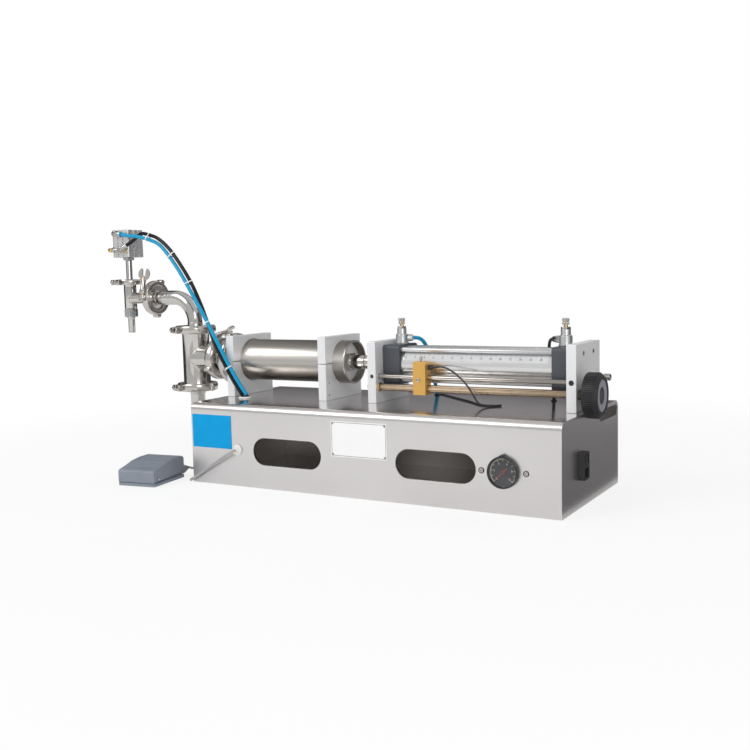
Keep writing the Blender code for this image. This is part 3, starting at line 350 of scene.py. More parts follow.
def rectangle(width, height, corner=0.0, steps=6):
    x, y = width / 2 - corner, height / 2 - corner
    if not corner:
        return [(-x, -y), (x, -y), (x, y), (-x, y)]
    points = []
    for sx, sy, start in ((1, 1, 0), (-1, 1, 90), (-1, -1, 180), (1, -1, 270)):
        points += arc((sx * x, sy * y), corner, start, start + 90, steps)
    return points


def obround(length, height, steps=20):
    reach = (length - height) / 2
    return arc((reach, 0), height / 2, -90, 90, steps) + arc((-reach, 0), height / 2, 90, 270, steps)


def hexagon(acrossFlats):
    return arc((0, 0), acrossFlats / math.sqrt(3), 0, 300, 5)


def ribbed(count, profile):
    # the same rib all the way round; profile gives shares of a rib's width and their radii
    points = []
    for k in range(count):
        for share, radius in profile:
            a = 2 * math.pi * (k + share) / count
            points.append((radius * math.cos(a), radius * math.sin(a)))
    return points


def raised(outline, depth, start=0.0):
    shape = bmesh.new()
    face = shape.faces.new([shape.verts.new((x, y, start)) for x, y in outline])
    grown = bmesh.ops.extrude_face_region(shape, geom=[face])
    bmesh.ops.translate(shape, verts=[v for v in grown["geom"] if isinstance(v, bmesh.types.BMVert)],
                        vec=(0, 0, depth))
    return shape


def spun(outline, sides=96, round=0.0004):
    shape = bmesh.new()
    points = [shape.verts.new((r, 0, h)) for r, h in (corners(outline, round) if round else outline)]
    edges = [shape.edges.new(pair) for pair in zip(points, points[1:] + points[:1])
             if pair[0].co.x > 1e-6 or pair[1].co.x > 1e-6]
    bmesh.ops.spin(shape, geom=points + edges, axis=(0, 0, 1), cent=(0, 0, 0), angle=2 * math.pi,
                   steps=sides, use_merge=True)
    bmesh.ops.remove_doubles(shape, verts=shape.verts, dist=1e-6)
    return shape


def bar(radius, length, start=0.0, sides=48, round=0.0004):
    return spun([(0, start), (radius, start), (radius, start + length), (0, start + length)], sides, round)


def swept(path, radius, sides=24):
    # round bar along any path, capped; radius may be a number or one per point
    shape = bmesh.new()
    path = [Vector(p) for p in path]
    radii = radius if isinstance(radius, list) else [radius] * len(path)
    rings = []
    side = None
    for k, point in enumerate(path):
        along = (path[min(k + 1, len(path) - 1)] - path[max(k - 1, 0)]).normalized()
        if side is None:
            side = along.orthogonal().normalized()
        side = (side - side.dot(along) * along).normalized()
        across = along.cross(side)
        rings.append([shape.verts.new(point + radii[k] * (math.cos(a) * side + math.sin(a) * across))
                      for a in (2 * math.pi * n / sides for n in range(sides))])
    for here, there in zip(rings, rings[1:]):
        for n in range(sides):
            m = (n + 1) % sides
            shape.faces.new((here[n], here[m], there[m], there[n]))
    shape.faces.new(rings[0])
    shape.faces.new(rings[-1])
    return shape


def smoothRoute(points, spacing):
    # evenly spaced points on a smooth curve through a given route
    points = [Vector(p) for p in points]
    ends = [2 * points[0] - points[1]] + points + [2 * points[-1] - points[-2]]
    fine = []
    for a, b, c, d in zip(ends, ends[1:], ends[2:], ends[3:]):
        for n in range(24):
            t = n / 24
            fine.append(0.5 * (2 * b + (c - a) * t + (2 * a - 5 * b + 4 * c - d) * t ** 2
                               + (3 * b - a - 3 * c + d) * t ** 3))
    fine.append(points[-1])
    steps = [(q - p).length for p, q in zip(fine, fine[1:])]
    count = max(2, round(sum(steps) / spacing))
    route, walked, index = [fine[0]], 0.0, 0
    for k in range(1, count):
        distance = sum(steps) * k / count
        while walked + steps[index] < distance:
            walked += steps[index]
            index += 1
        route.append(fine[index].lerp(fine[index + 1], (distance - walked) / steps[index]))
    return route + [fine[-1]]


def routeLength(route):
    return sum((Vector(q) - Vector(p)).length for p, q in zip(route, route[1:]))


def pose(at=(0, 0, 0), facing=upward):
    return Matrix.Translation(at) @ Euler(facing).to_matrix().to_4x4()


def solid(name, shape, where):
    # turns a bmesh into an object of the scene
    bmesh.ops.recalc_face_normals(shape, faces=shape.faces)
    mesh = bpy.data.meshes.new(name)
    shape.to_mesh(mesh)
    shape.free()
    thing = placed(name, mesh)
    thing.matrix_world = where if isinstance(where, Matrix) else pose(*where)
    return thing


def cutter(shape, where):
    return solid("cutter", shape, where)


def assign(thing, body, stands=(), slot=None):
    # the body that a piece rides and the CAD nodes that it stands for; slot is not used
    if body:
        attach(thing, body)
    if stands:
        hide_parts(*stands)
    return thing


def put(name, shape, finish, where, stands=(), slot=None, bevel=0.0, crease=32, body="machine"):
    thing = solid(name, shape, where)
    thing.data.materials.append(finish)
    finishEdges(thing, bevel, crease)
    return assign(thing, body, stands, slot)


def easeEdges(thing, width, crease):
    step = thing.modifiers.new("edges", "BEVEL")
    step.width = width
    step.segments = 2
    step.limit_method = "ANGLE"
    step.angle_limit = math.radians(crease)


def finishEdges(thing, bevel, crease):
    thing.data.shade_smooth()
    thing.data.set_sharp_from_angle(angle=math.radians(crease))
    if bevel:
        easeEdges(thing, bevel, crease)


def carved(name, shape, finish, where, cuts=(), joins=(), shell=None, bevel=0.0, crease=32):
    # trims, joins and cuts a solid with throwaway ones, then keeps the result as plain mesh
    thing = solid(name, shape, where)
    thing.data.materials.append(finish)
    if shell:
        combine(thing, [("INTERSECT", shell)])
    combine(thing, [("UNION", t) for t in joins] + [("DIFFERENCE", t) for t in cuts])
    finishEdges(thing, bevel, crease)
    return thing


def combine(thing, steps):
    for operation, other in steps:
        step = thing.modifiers.new(operation, "BOOLEAN")
        step.operation = operation
        step.object = other
    graph = bpy.context.evaluated_depsgraph_get()
    mesh = bpy.data.meshes.new_from_object(thing.evaluated_get(graph))
    thing.modifiers.clear()
    thing.data = mesh
    for _, other in steps:
        bpy.data.objects.remove(other)


def keep(nodeName, finish, bevel=0.0):
    # a CAD node whose shape is right: finish on it, and its edges eased
    thing = cadNode[nodeName]
    thing.data.materials.clear()
    thing.data.materials.append(finish)
    if bevel:
        weld = thing.modifiers.new("weld", "WELD")
        weld.merge_threshold = 0.00001
        easeEdges(thing, bevel, 32)


def span(nodeName):
    low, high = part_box(nodeName)
    return low, high, (low + high) / 2


# places that the rest is built from
cylLow, cylHigh, cylMid = span("product_cylinder")
axisY, axisZ = cylMid.y, cylMid.z
ferruleX, rimX = cylLow.x, cylHigh.x
baseLow, baseHigh, _ = span("base_cover")
deckZ = baseHigh.z
frontY = baseLow.y
teeX = span("inlet_pipe")[2].x
nozzleX = span("nozzle_bridge")[2].x
teeTop, teeBottom = span("tee_body")[1].z, span("tee_body")[0].z
tubeLow, tubeHigh, _ = span("air_tube")
screwMid = span("lead_screw")[2]
guideMid = span("guide_rod")[2]


# hoses and cords, made before anything else
hoseSet = {"diameter": 0.008, "valveDiameter": 0.0075, "cableDiameter": 0.0035, "cordDiameter": 0.005,
           "rearDiameter": 0.006, "leadDiameter": 0.003,
           "ties": (0.155, 0.31, 0.47, 0.66, 0.86)}

blueRoute = [(-0.6936, -0.0160, 0.5113), (-0.6734, -0.0160, 0.5077), (-0.6433, -0.0175, 0.5043),
             (-0.6077, -0.0210, 0.4962), (-0.5728, -0.0260, 0.4831), (-0.5400, -0.0320, 0.4560),
             (-0.5075, -0.0380, 0.4219), (-0.4770, -0.0440, 0.3841), (-0.4553, -0.0480, 0.3562),
             (-0.4306, -0.0520, 0.3225), (-0.3894, -0.0580, 0.2621), (-0.3525, -0.0610, 0.2065),
             (-0.3226, -0.0610, 0.1664)]
blackRoute = [(-0.6854, -0.0107, 0.4867), (-0.6655, -0.0034, 0.5004), (-0.6500, -0.0065, 0.5085),
              (-0.6350, -0.0105, 0.5112), (-0.6170, -0.0140, 0.5078), (-0.5825, -0.0215, 0.4985),
              (-0.5468, -0.0265, 0.4752), (-0.5109, -0.0325, 0.4395), (-0.4802, -0.0350, 0.3989),
              (-0.4546, -0.0382, 0.3553), (-0.4304, -0.0450, 0.3116), (-0.4056, -0.0546, 0.2691),
              (-0.3784, -0.0587, 0.2277), (-0.3540, -0.0610, 0.1930), (-0.3336, -0.0612, 0.1664)]
valveLevel = 0.2823
valveX = 0.0005
valveRoute = [(valveX + 0.0110, axisY + 0.0093, valveLevel), (valveX + 0.0176, axisY + 0.0148, valveLevel),
              (valveX + 0.0230, 0.0450, valveLevel - 0.0015), (valveX + 0.0260, 0.0580, valveLevel - 0.0075),
              (valveX + 0.0280, 0.0700, 0.2620), (valveX + 0.0290, 0.0800, 0.2430), (0.0300, 0.0880, 0.2200),
              (0.0302, 0.0960, 0.1990), (0.0300, 0.1060, 0.1770), (0.0300, 0.1120, 0.1602)]
sensorRoute = [(0.0921, -0.0280, 0.2310), (0.1085, -0.0290, 0.2326), (0.1259, -0.0340, 0.2292),
               (0.1480, -0.0420, 0.2188), (0.1656, -0.0490, 0.2068), (0.1759, -0.0520, 0.1965),
               (0.1835, -0.0515, 0.1843), (0.1880, -0.0470, 0.1735), (0.1915, -0.0375, 0.1657),
               (0.1975, -0.0255, 0.1626), (0.2065, -0.0155, 0.1620), (0.2180, -0.0040, 0.1620)]
cordOut = [(-0.2730, -0.1580, 0.0720), (-0.2730, -0.1680, 0.0720), (-0.2775, -0.1755, 0.0697),
           (-0.2880, -0.1770, 0.0635), (-0.3050, -0.1755, 0.0535), (-0.3300, -0.1730, 0.0390),
           (-0.3550, -0.1705, 0.0240), (-0.3770, -0.1685, 0.0105), (-0.3900, -0.1655, 0.0040),
           (-0.4000, -0.1480, 0.0027), (-0.4040, -0.1100, 0.0027), (-0.4025, -0.0600, 0.0027),
           (-0.4060, -0.0280, 0.0027)]
cordBack = [(-0.4550, 0.0700, 0.0027), (-0.4950, 0.0500, 0.0027), (-0.5060, 0.0050, 0.0027),
            (-0.4950, -0.0320, 0.0027), (-0.4720, -0.0560, 0.0035)]
rearRoute = [(0.3060, 0.0360, 0.2823), (0.3010, 0.0400, 0.2818), (0.2950, 0.0470, 0.2792),
             (0.2895, 0.0560, 0.2720), (0.2860, 0.0650, 0.2600), (0.2840, 0.0740, 0.2420),
             (0.2830, 0.0820, 0.2220), (0.2822, 0.0900, 0.2010), (0.2820, 0.0970, 0.1800),
             (0.2820, 0.1000, 0.1602)]
deckRoute = [(0.0330, 0.1190, 0.1608), (0.0420, 0.1150, 0.1617), (0.0600, 0.0990, 0.1617),
             (0.0858, 0.0767, 0.1617), (0.1120, 0.0540, 0.1617), (0.1388, 0.0315, 0.1617),
             (0.1580, 0.0120, 0.1617), (0.1751, -0.0035, 0.1617), (0.1900, -0.0100, 0.1617),
             (0.2050, -0.0090, 0.1617), (0.2155, -0.0070, 0.1610)]
pedalSet = {"place": (-0.470, -0.192), "turn": math.radians(8), "width": 0.086, "depth": 0.108,
            "back": 0.045, "glandX": 0.028, "glandZ": 0.0125, "ribs": 9, "ribGap": 0.0088}


def onPedal(x, y, z):
    c, s = math.cos(pedalSet["turn"]), math.sin(pedalSet["turn"])
    return Vector((pedalSet["place"][0] + c * x - s * y, pedalSet["place"][1] + s * x + c * y, z))


def pedalCordRoute():
    # out of the base, round its end, four turns of coil, round again and into the pedal's gland
    coil = Vector((-0.450, 0.005, 0))
    turns = [(0.0302, 0.0028), (0.02485, 0.0028), (0.02485, 0.0079), (0.0302, 0.0079)]
    wound = []
    for n, (radius, height) in enumerate(turns):
        nextRadius, nextHeight = turns[min(n + 1, 3)]
        for k in range(20):
            share = max(0.0, k / 20 - 0.75) * 4
            reach = radius + (nextRadius - radius) * share
            lift = height + (nextHeight - height) * share
            angle = math.radians(-20) + 2 * math.pi * k / 20
            wound.append(coil + Vector((reach * math.cos(angle), reach * math.sin(angle), lift)))
    leave = [coil + Vector((0.0305 * math.cos(a), 0.0305 * math.sin(a), h))
             for a, h in ((math.radians(-20), 0.0079), (math.radians(5), 0.0077))]
    leave += [Vector((-0.4155, 0.0260, 0.0062)), Vector((-0.4235, 0.0480, 0.0030))]
    half = pedalSet["depth"] / 2 + 0.0203
    ends = [onPedal(pedalSet["glandX"], half + away, height)
            for away, height in ((0.032, 0.0075), (0.020, 0.0115), (0.010, 0.0125), (0.0, 0.0125))]
    return [*cordOut, *wound, *leave, *cordBack, *ends]


def cordCurve(name, route, diameter, finish, body, spacing=1.2, stands=(), slot=None):
    curve = bpy.data.curves.new(name, "CURVE")
    curve.dimensions = "3D"
    curve.bevel_depth = diameter / 2
    curve.bevel_resolution = 6
    curve.use_fill_caps = True
    points = smoothRoute(route, spacing * diameter)
    spline = curve.splines.new("POLY")
    spline.points.add(len(points) - 1)
    for knot, point in zip(spline.points, points):
        knot.co = (*point, 1)
    spline.use_smooth = True
    curve.materials.append(finish)
    return assign(placed(name, curve), body, stands, slot), points


def addHoses():
    size = hoseSet["diameter"]
    routes = []
    for name, route, skin, node in (("blueHose", blueRoute, blueSkin, "blue_hose"),
                                    ("blackHose", blackRoute, blackSkin, "black_hose")):
        thing, points = cordCurve(name, route, size, skin, "machine", 1.0, [node], node)
        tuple(route[0])
        routeLength(points)
        routes.append(points)
    thing, points = cordCurve("frontAirHose", valveRoute, hoseSet["valveDiameter"], blueSkin, "machine", 0.8,
                              ["front_air_hose"], "blue_hose")
    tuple(valveRoute[0])
    routeLength(points)
    return routes


def addSensorCable():
    size = hoseSet["cableDiameter"]
    points = smoothRoute(sensorRoute, 1.5 * size)
    shape = swept(points, size / 2, 16)
    thing = put("sensorCable", shape, darkCord, pose(), ["sensor_cable"], slot="dark_cord", body=None)
    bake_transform(thing)
    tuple(sensorRoute[0])
    routeLength(points)
    [tuple(p) for p in points]


def addPedalCord():
    size = hoseSet["cordDiameter"]
    route = pedalCordRoute()
    thing, points = cordCurve("pedalCord", route, size, greyCord, "machine", 0.8,
                              ["pedal_cord", "pedal_cord_coil"], "grey_cord")
    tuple(route[0])
    routeLength(points)


def addDeckCords():
    # air line of the rear cap, and the lead that crosses the deck under the air cylinder
    for name, route, size, skin, stiffness, lay in (
            ("rearAirHose", rearRoute, hoseSet["rearDiameter"], blackSkin, "medium", "hanging"),
            ("deckLead", deckRoute, hoseSet["leadDiameter"], darkCord, "limp", "loose")):
        thing, points = cordCurve(name, route, size, skin, "machine", 1.0)
        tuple(route[0])
        routeLength(points)


hosePoints = addHoses()
addDeckCords()
addSensorCable()
addPedalCord()
print("hoses and cords are laid")


# the base box
boxSet = {"sheet": 0.0015, "bend": 0.014, "ovalLength": 0.156, "ovalHeight": 0.054, "ovalFromEnd": 0.2305,
          "rise": 0.072, "gaugeFromEnd": 0.1015, "gaugeRadius": 0.0275, "cordFromEnd": 0.1145,
          "slotLength": 0.112, "slotHeight": 0.020, "slotDrop": 0.017, "slotY": 0.098,
          "cordHole": 0.0083, "inletHole": (0.0246, 0.0446), "grommetHole": 0.0093, "leadHole": 0.004,
          "leadPlace": (0.218, -0.004), "hoseHole": 0.006, "hosePlace": (0.030, 0.112)}


def boxSection(inset):
    side, top = baseHigh.y - inset, deckZ - inset
    bend = boxSet["bend"] - inset
    return ([(-side, 0), (side, 0)] + arc((side - bend, top - bend), bend, 0, 90, 14)
            + arc((-side + bend, top - bend), bend, 90, 180, 14))


def addBase():
    sheet = boxSet["sheet"]
    length = baseHigh.x - baseLow.x
    hollow = raised(boxSection(sheet), length - 2 * sheet, sheet)
    for vertex in hollow.verts:
        if vertex.co.y < 0.001:
            vertex.co.y = -0.002
    cuts = [cutter(hollow, ((baseLow.x, 0, 0), rightward))]
    wall = sheet + 0.004
    face = frontY + sheet + 0.002
    rise = boxSet["rise"]
    for x in (baseLow.x + boxSet["ovalFromEnd"], baseHigh.x - boxSet["ovalFromEnd"]):
        cuts.append(cutter(raised(obround(boxSet["ovalLength"], boxSet["ovalHeight"]), wall),
                           ((x, face, rise), forward)))
    cuts.append(cutter(bar(boxSet["gaugeRadius"] - 0.0032, wall, round=0),
                       ((baseHigh.x - boxSet["gaugeFromEnd"], face, rise), forward)))
    cuts.append(cutter(bar(boxSet["cordHole"], wall, round=0),
                       ((baseLow.x + boxSet["cordFromEnd"], face, rise), forward)))
    for x, facing in ((baseHigh.x - sheet - 0.002, rightward), (baseLow.x + sheet + 0.002, leftward)):
        cuts.append(cutter(raised(obround(boxSet["slotLength"], boxSet["slotHeight"]), wall),
                           ((x, boxSet["slotY"], deckZ - boxSet["slotDrop"]), facing)))
    inlet = span("power_inlet")[2]
    cuts.append(cutter(raised(rectangle(*boxSet["inletHole"]), wall),
                       ((baseHigh.x - sheet - 0.002, inlet.y, inlet.z), rightward)))
    grommet = span("hose_grommet")[2]
    under = deckZ - sheet - 0.002
    for (x, y), radius in (((grommet.x, grommet.y), boxSet["grommetHole"]),
                           (boxSet["leadPlace"], boxSet["leadHole"]),
                           (boxSet["hosePlace"], boxSet["hoseHole"])):
        cuts.append(cutter(bar(radius, wall, round=0), ((x, y, under), upward)))
    cover = carved("baseSkin", raised(boxSection(0), length), steelCover, ((baseLow.x, 0, 0), rightward),
                   cuts, bevel=0.0006, crease=30)
    assign(cover, "machine", ["base_cover"], "stainless")
    keep("base_pan", steelCover)
    keep("valve_block", capAlloy, 0.0008)
    for side in (-1, 1):  # return edges that stiffen the open ends of the ovals
        x = side * (baseHigh.x - boxSet["ovalFromEnd"])
        band = ring(*(obround(boxSet["ovalLength"] + more, boxSet["ovalHeight"] + more)
                      for more in (0.001, -0.0012)), 0.0035)
        put("ovalLip_%s" % ("right" if side > 0 else "left"), band, steelTurned,
            ((x, frontY + sheet + 0.0040, rise), forward), slot="stainless", crease=40)


def ring(outer, inner, depth):
    # a flat band between two outlines with the same count of points
    shape = bmesh.new()
    rows = [[shape.verts.new((x, y, z)) for x, y in outline]
            for outline, z in ((outer, 0), (outer, depth), (inner, depth), (inner, 0))]
    count = len(outer)
    for here, there in zip(rows, rows[1:] + rows[:1]):
        for n in range(count):
            m = (n + 1) % count
            shape.faces.new((here[n], here[m], there[m], there[n]))
    return shape


def domeScrew(name, at, facing, radius, finish=steelTurned, body="machine", height=0.0022):
    # round head with a small dimple
    outline = [(0, 0), (radius, 0), (radius, height * 0.35), (radius * 0.80, height * 0.8),
               (radius * 0.36, height), (radius * 0.26, height * 0.55), (0, height * 0.45)]
    return put(name, spun(outline, 28, 0.0002), finish, (at, facing), body=body)


def capScrew(name, at, facing, radius, height):
    # socket head with a hexagon well
    well = cutter(raised(hexagon(radius), height, height * 0.45), (at, facing))
    head = carved(name, spun([(0, 0), (radius, 0), (radius, height), (0, height)], 36, 0.0005), steelTurned,
                  (at, facing), [well])
    return assign(head, "machine")


addBase()
print("base is folded")


# gauge, inlet, grommets and the plates on the front
gaugeSet = {"ticks": 51, "sweep": 270, "startAngle": 225, "numbers": ("0", "2", "4", "6", "8", "10"),
            "bandPieces": 60, "screws": (0.2455, 0.3260)}


def dialAngle(share):
    return math.radians(gaugeSet["startAngle"] - gaugeSet["sweep"] * share)


def addGauge():
    radius = boxSet["gaugeRadius"]
    where = pose((baseHigh.x - boxSet["gaugeFromEnd"], frontY - gap, boxSet["rise"]), forward)
    body, well = radius - 0.0035, radius - 0.0030
    case = [(0, -0.030), (body, -0.030), (body, 0), (radius, 0), (radius, 0.0070),
            (radius - 0.0010, 0.0085), (well + 0.0004, 0.0085), (well, 0.0020), (0, 0.0020)]
    put("gaugeCase", spun(case, 96, 0.0005), blackPlastic, where, ["gauge_case"], slot="black_plastic")
    rimRing = [(well + 0.0002, 0.0060), (radius - 0.0004, 0.0060), (radius - 0.0004, 0.0088),
               (well + 0.0002, 0.0088)]
    put("gaugeRim", spun(rimRing, 96, 0.0004), blackPlastic, where)
    peak = [(-0.0085, 0), (0.0085, 0), (0.0016, 0.0045), (-0.0016, 0.0045)]
    put("gaugePeak", raised(peak, 0.0066, 0.0006), blackPlastic,
        where @ Matrix.Translation((0, radius - 0.0016, 0)), bevel=0.0005)
    put("gaugeDial", bar(well - 0.0002, 0.0006, 0.0021, 96, 0), dialDark, where)
    marks = bmesh.new()
    for k in range(gaugeSet["ticks"]):
        angle = dialAngle(k / (gaugeSet["ticks"] - 1))
        long = k % 5 == 0
        outer, inner = well - 0.0022, well - (0.0062 if long else 0.0042)
        wide = 0.00035 if long else 0.00018
        ray = Vector((math.cos(angle), math.sin(angle), 0))
        side = Vector((-math.sin(angle), math.cos(angle), 0))
        face = [marks.verts.new(ray * r + side * s * wide + Vector((0, 0, 0.00285)))
                for r, s in ((inner, -1), (outer, -1), (outer, 1), (inner, 1))]
        marks.faces.new(face)
    for n in range(gaugeSet["bandPieces"]):
        turn = [dialAngle((n + e) / gaugeSet["bandPieces"]) for e in (0, 1)]
        face = [marks.verts.new((r * math.cos(a), r * math.sin(a), 0.00283))
                for r, a in ((well - 0.0024, turn[0]), (well - 0.0018, turn[0]),
                             (well - 0.0018, turn[1]), (well - 0.0024, turn[1]))]
        marks.faces.new(face)
    put("gaugeMarks", marks, dialPale, where)
    for k, number in enumerate(gaugeSet["numbers"]):
        angle = dialAngle(k / (len(gaugeSet["numbers"]) - 1))
        reach = well - 0.0090
        at = where @ Vector((reach * math.cos(angle), reach * math.sin(angle), 0.0029))
        writeNumber("gaugeNumber_%d" % k, number, 0.0048, at, where.to_3x3().to_4x4(), figurePale)
    keep("gauge_needle", redPaint)
    put("gaugeHub", bar(0.0022, 0.0009, 0.0057, 32), blackPlastic, where, body="pointer")
    lens = material("gaugeGlass", Base_Color=(1, 1, 1), IOR=1.45, Transmission_Weight=1.0)
    lens.look(Roughness=lens.noise(lens.place(), 90.0, 2.0) * 0.03 + 0.02)
    put("gaugeGlass", bar(well + 0.0002, 0.0008, 0.0068, 96, 0.0003), lens.owner, where)
    for x in gaugeSet["screws"]:
        domeScrew("gaugeScrew_%d" % round(x * 1000), (x, frontY - 0.0002, boxSet["rise"]), forward, 0.0042,
                  steelTurned)
        put("gaugeWasher_%d" % round(x * 1000), bar(0.0054, 0.0004, 0.0, 32, 0.0001), sealBlack,
            ((x, frontY - 0.0001, boxSet["rise"]), forward))


def writeNumber(name, words, size, at, turn, finish):
    text = bpy.data.curves.new(name, "FONT")
    text.body = words
    text.size = size
    text.align_x = "CENTER"
    text.align_y = "CENTER"
    text.materials.append(finish)
    thing = placed(name, text)
    thing.matrix_world = Matrix.Translation(at) @ turn
    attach(thing, "machine")


def addInlet():
    mid = span("power_inlet")[2]
    keep("power_inlet", blackPlastic, 0.0005)
    keep("rocker_switch", blackPlastic, 0.0004)
    for k, (dy, dz) in enumerate(((-0.0062, -0.0030), (0.0062, -0.0030), (0.0, 0.0030))):
        put("inletPin_%d" % k, raised(rectangle(0.0042, 0.0012), 0.013), steelTurned,
            ((mid.x - 0.002, mid.y + dy, mid.z - 0.0115 + dz), rightward), bevel=0.0002)
    put("rockerDash", raised(rectangle(0.0006, 0.0040), 0.0003), whitePlastic,
        (span("rocker_switch")[2] + Vector((0.0030, -0.0055, 0)), rightward), body="rocker")


def addGrommets():
    mid = span("cord_grommet")[2]
    hole = hoseSet["cordDiameter"] / 2 + gap
    outline = [(hole, -0.006), (0.008, -0.006), (0.008, 0), (0.011, 0), (0.011, 0.003),
               (0.009, 0.0045), (hole, 0.0045)]
    put("cordGrommet", spun(outline, 64, 0.0006), whitePlastic, ((mid.x, frontY - gap, mid.z), forward),
        ["cord_grommet"], slot="white_plastic")
    mid = span("hose_grommet")[2]
    outline = [(0, -0.004), (0.009, -0.004), (0.009, 0), (0.0135, 0), (0.0135, 0.0015),
               (0.0105, 0.003), (0, 0.003)]
    put("hoseGrommet", spun(outline, 64, 0.0005), whitePlastic, ((mid.x, mid.y, deckZ + gap), upward),
        ["hose_grommet"], slot="white_plastic")
    put("hoseGrommetSleeve", bar(0.0088, 0.0022, 0.0028, 48), sealBlack,
        ((mid.x, mid.y, deckZ + gap), upward))


labelSet = {"namePlace": (0.004, 0.108), "nameSize": (0.118, 0.066), "rivetReach": (0.055, 0.029),
            "stickerPlace": (-0.3355, 0.105), "stickerSize": (0.097, 0.066)}


def addFrontPlates():
    x, z = labelSet["namePlace"]
    put("namePlate", raised(rectangle(*labelSet["nameSize"], 0.002), 0.0006), plateFilm,
        ((x, frontY - gap, z), forward), slot="stainless", bevel=0.0002)
    frameBand = ring(rectangle(0.114, 0.062, 0.0015), rectangle(0.1128, 0.0608, 0.0011), 0.00015)
    put("namePlateLine", frameBand, sealBlack, ((x, frontY - gap - 0.0006, z), forward))
    rivetX, rivetZ = labelSet["rivetReach"]
    for k, (sx, sz) in enumerate(((-1, 1), (1, 1), (-1, -1), (1, -1))):
        rivet = (x + sx * rivetX, frontY - gap, z + sz * rivetZ)
        # black disc under each rivet: painted shade round the rivet's head
        put("nameRivetShadeDisc_%d" % k, bar(0.0023, 0.0003, 0.0006, 24, 0), sealBlack, (rivet, forward))
        domeScrew("nameRivet_%d" % k, (rivet[0], rivet[1] - 0.0006, rivet[2]), forward, 0.0017, steelPolished,
                  height=0.0012)
    x, z = labelSet["stickerPlace"]
    put("blueSticker", raised(rectangle(*labelSet["stickerSize"], 0.001), 0.0003), blueFilm,
        ((x, frontY - gap, z), forward))


addGauge()
addInlet()
addGrommets()
addFrontPlates()
print("gauge, inlet and plates are on")


# standing plates
plateSet = {"bevel": 0.0007, "endScrew": 0.028, "footScrew": (0.050, 0.058), "collarRise": 0.025}


def addPlates():
    for nodeName in ("left_end_plate", "cylinder_plate", "front_rod_plate", "rear_rod_plate"):
        keep(nodeName, plateAlloy, plateSet["bevel"])
    face = span("cylinder_plate")[1].x
    for k in range(2):
        put("collarScrew_%d" % k, bar(0.0017, 0.0016, -0.002, 24), sealBlack,
            ((face, screwMid.y - 0.002, deckZ + 0.005 + plateSet["collarRise"] * (k + 0.2)), rightward))
    for side, nodeName, radius in (("front", "front_rod_plate", 0.0036), ("rear", "rear_rod_plate", 0.0046)):
        low, _, mid = span(nodeName)
        put("guideLock_" + side, bar(radius, 0.0040, -0.0066, 32), sealBlack,
            ((mid.x, low.y, guideMid.z), forward))
    face, reach = span("rear_rod_plate")[1].x - 0.0006, plateSet["endScrew"]
    for k, (sy, sz) in enumerate(((-1, 1), (1, 1), (-1, -1), (1, -1))):
        capScrew("endScrew_%d" % k, (face, axisY + sy * reach, axisZ + sz * reach), rightward, 0.0042, 0.0016)
    face, (reach, drop) = span("left_end_plate")[0].x - gap, plateSet["footScrew"]
    for k, sy in enumerate((-1, 1)):
        capScrew("footScrew_%d" % k, (face, axisY + sy * reach, axisZ - drop), leftward, 0.0038, 0.0018)


addPlates()


# measuring cylinder with its piston and rod
cylinderSet = {"bore": 0.080, "wall": 0.003, "coupler": 0.01375, "rod": 0.010, "rodPiston": 0.0311,
               "rim": 0.0028, "taper": 0.0017, "headRim": 0.049}


def onAxis(x):  # lying along the line that the pistons run on
    return (x, axisY, axisZ), alongX


def ferrule(edge, neck, length):
    straight, slope = cylinderSet["rim"], cylinderSet["taper"]
    return [(edge, 0), (edge, straight), (edge - 0.0045, straight + slope), (neck, straight + slope),
            (neck, length)]


def addCylinder():
    inner = cylinderSet["bore"] / 2
    outer = inner + cylinderSet["wall"]
    shoulder = span("left_end_plate")[1].x + gap - ferruleX
    length = rimX - ferruleX
    outline = ([(inner, 0)] + ferrule(cylinderSet["headRim"], outer, shoulder)
               + [(outer + 0.002, shoulder), (outer + 0.002, shoulder + 0.003), (outer, shoulder + 0.003),
                  (outer, length - 0.003), (outer + 0.001, length - 0.003), (outer + 0.001, length),
                  (inner, length)])
    put("measuringCylinder", spun(outline, 144, 0.0006), steelCylinder, onAxis(ferruleX),
        ["product_cylinder"], slot="brushed_stainless")
    low, high, _ = span("product_piston")
    disc = inner - 0.0004
    outline = [(0, 0), (disc, 0), (disc, 0.007), (disc - 0.002, 0.007), (disc - 0.002, 0.012),
               (disc, 0.012), (disc, high.x - low.x), (0, high.x - low.x)]
    put("piston", spun(outline, 96, 0.0008), palePlastic, onAxis(low.x),
        ["product_piston"], slot="piston_plastic", body="piston")
    lip = disc + 0.0001
    seal = [(disc - 0.0016, 0.0072), (lip, 0.0078), (lip, 0.0112), (disc - 0.0016, 0.0118)]
    put("pistonSeal", spun(seal, 96, 0.0004), sealBlack, onAxis(low.x), body="piston")
    low, high, _ = span("piston_rod")
    face = low.x - gap
    coupler = span("front_rod_plate")[0].x - 0.004 - face
    rear = high.x - face
    back = rear - 0.030
    rod, big, wide = cylinderSet["rod"], cylinderSet["rodPiston"], cylinderSet["coupler"]
    outline = [(0, gap), (wide, gap), (wide, coupler * 0.46), (wide - 0.0012, coupler * 0.47),
               (wide - 0.0012, coupler * 0.53), (wide, coupler * 0.54), (wide, coupler), (rod, coupler),
               (rod, back), (big, back), (big, rear), (0, rear)]
    put("pistonRod", spun(outline, 72, 0.0007), rodSteel, onAxis(face), ["piston_rod"],
        slot="polished_stainless", body="piston")
    put("pistonNut", raised(hexagon(0.034), 0.010, gap), steelTurned, ((face, axisY, axisZ), rightward),
        bevel=0.0008, body="piston")


addCylinder()
print("measuring cylinder is bored")


# air cylinder
airSet = {"tube": 0.035, "bore": 0.0315, "tie": 0.005, "tieOffset": 0.0286,
          "ruleFrom": 14, "ruleTo": 40, "ruleLength": 0.290, "ruleTicks": 146}


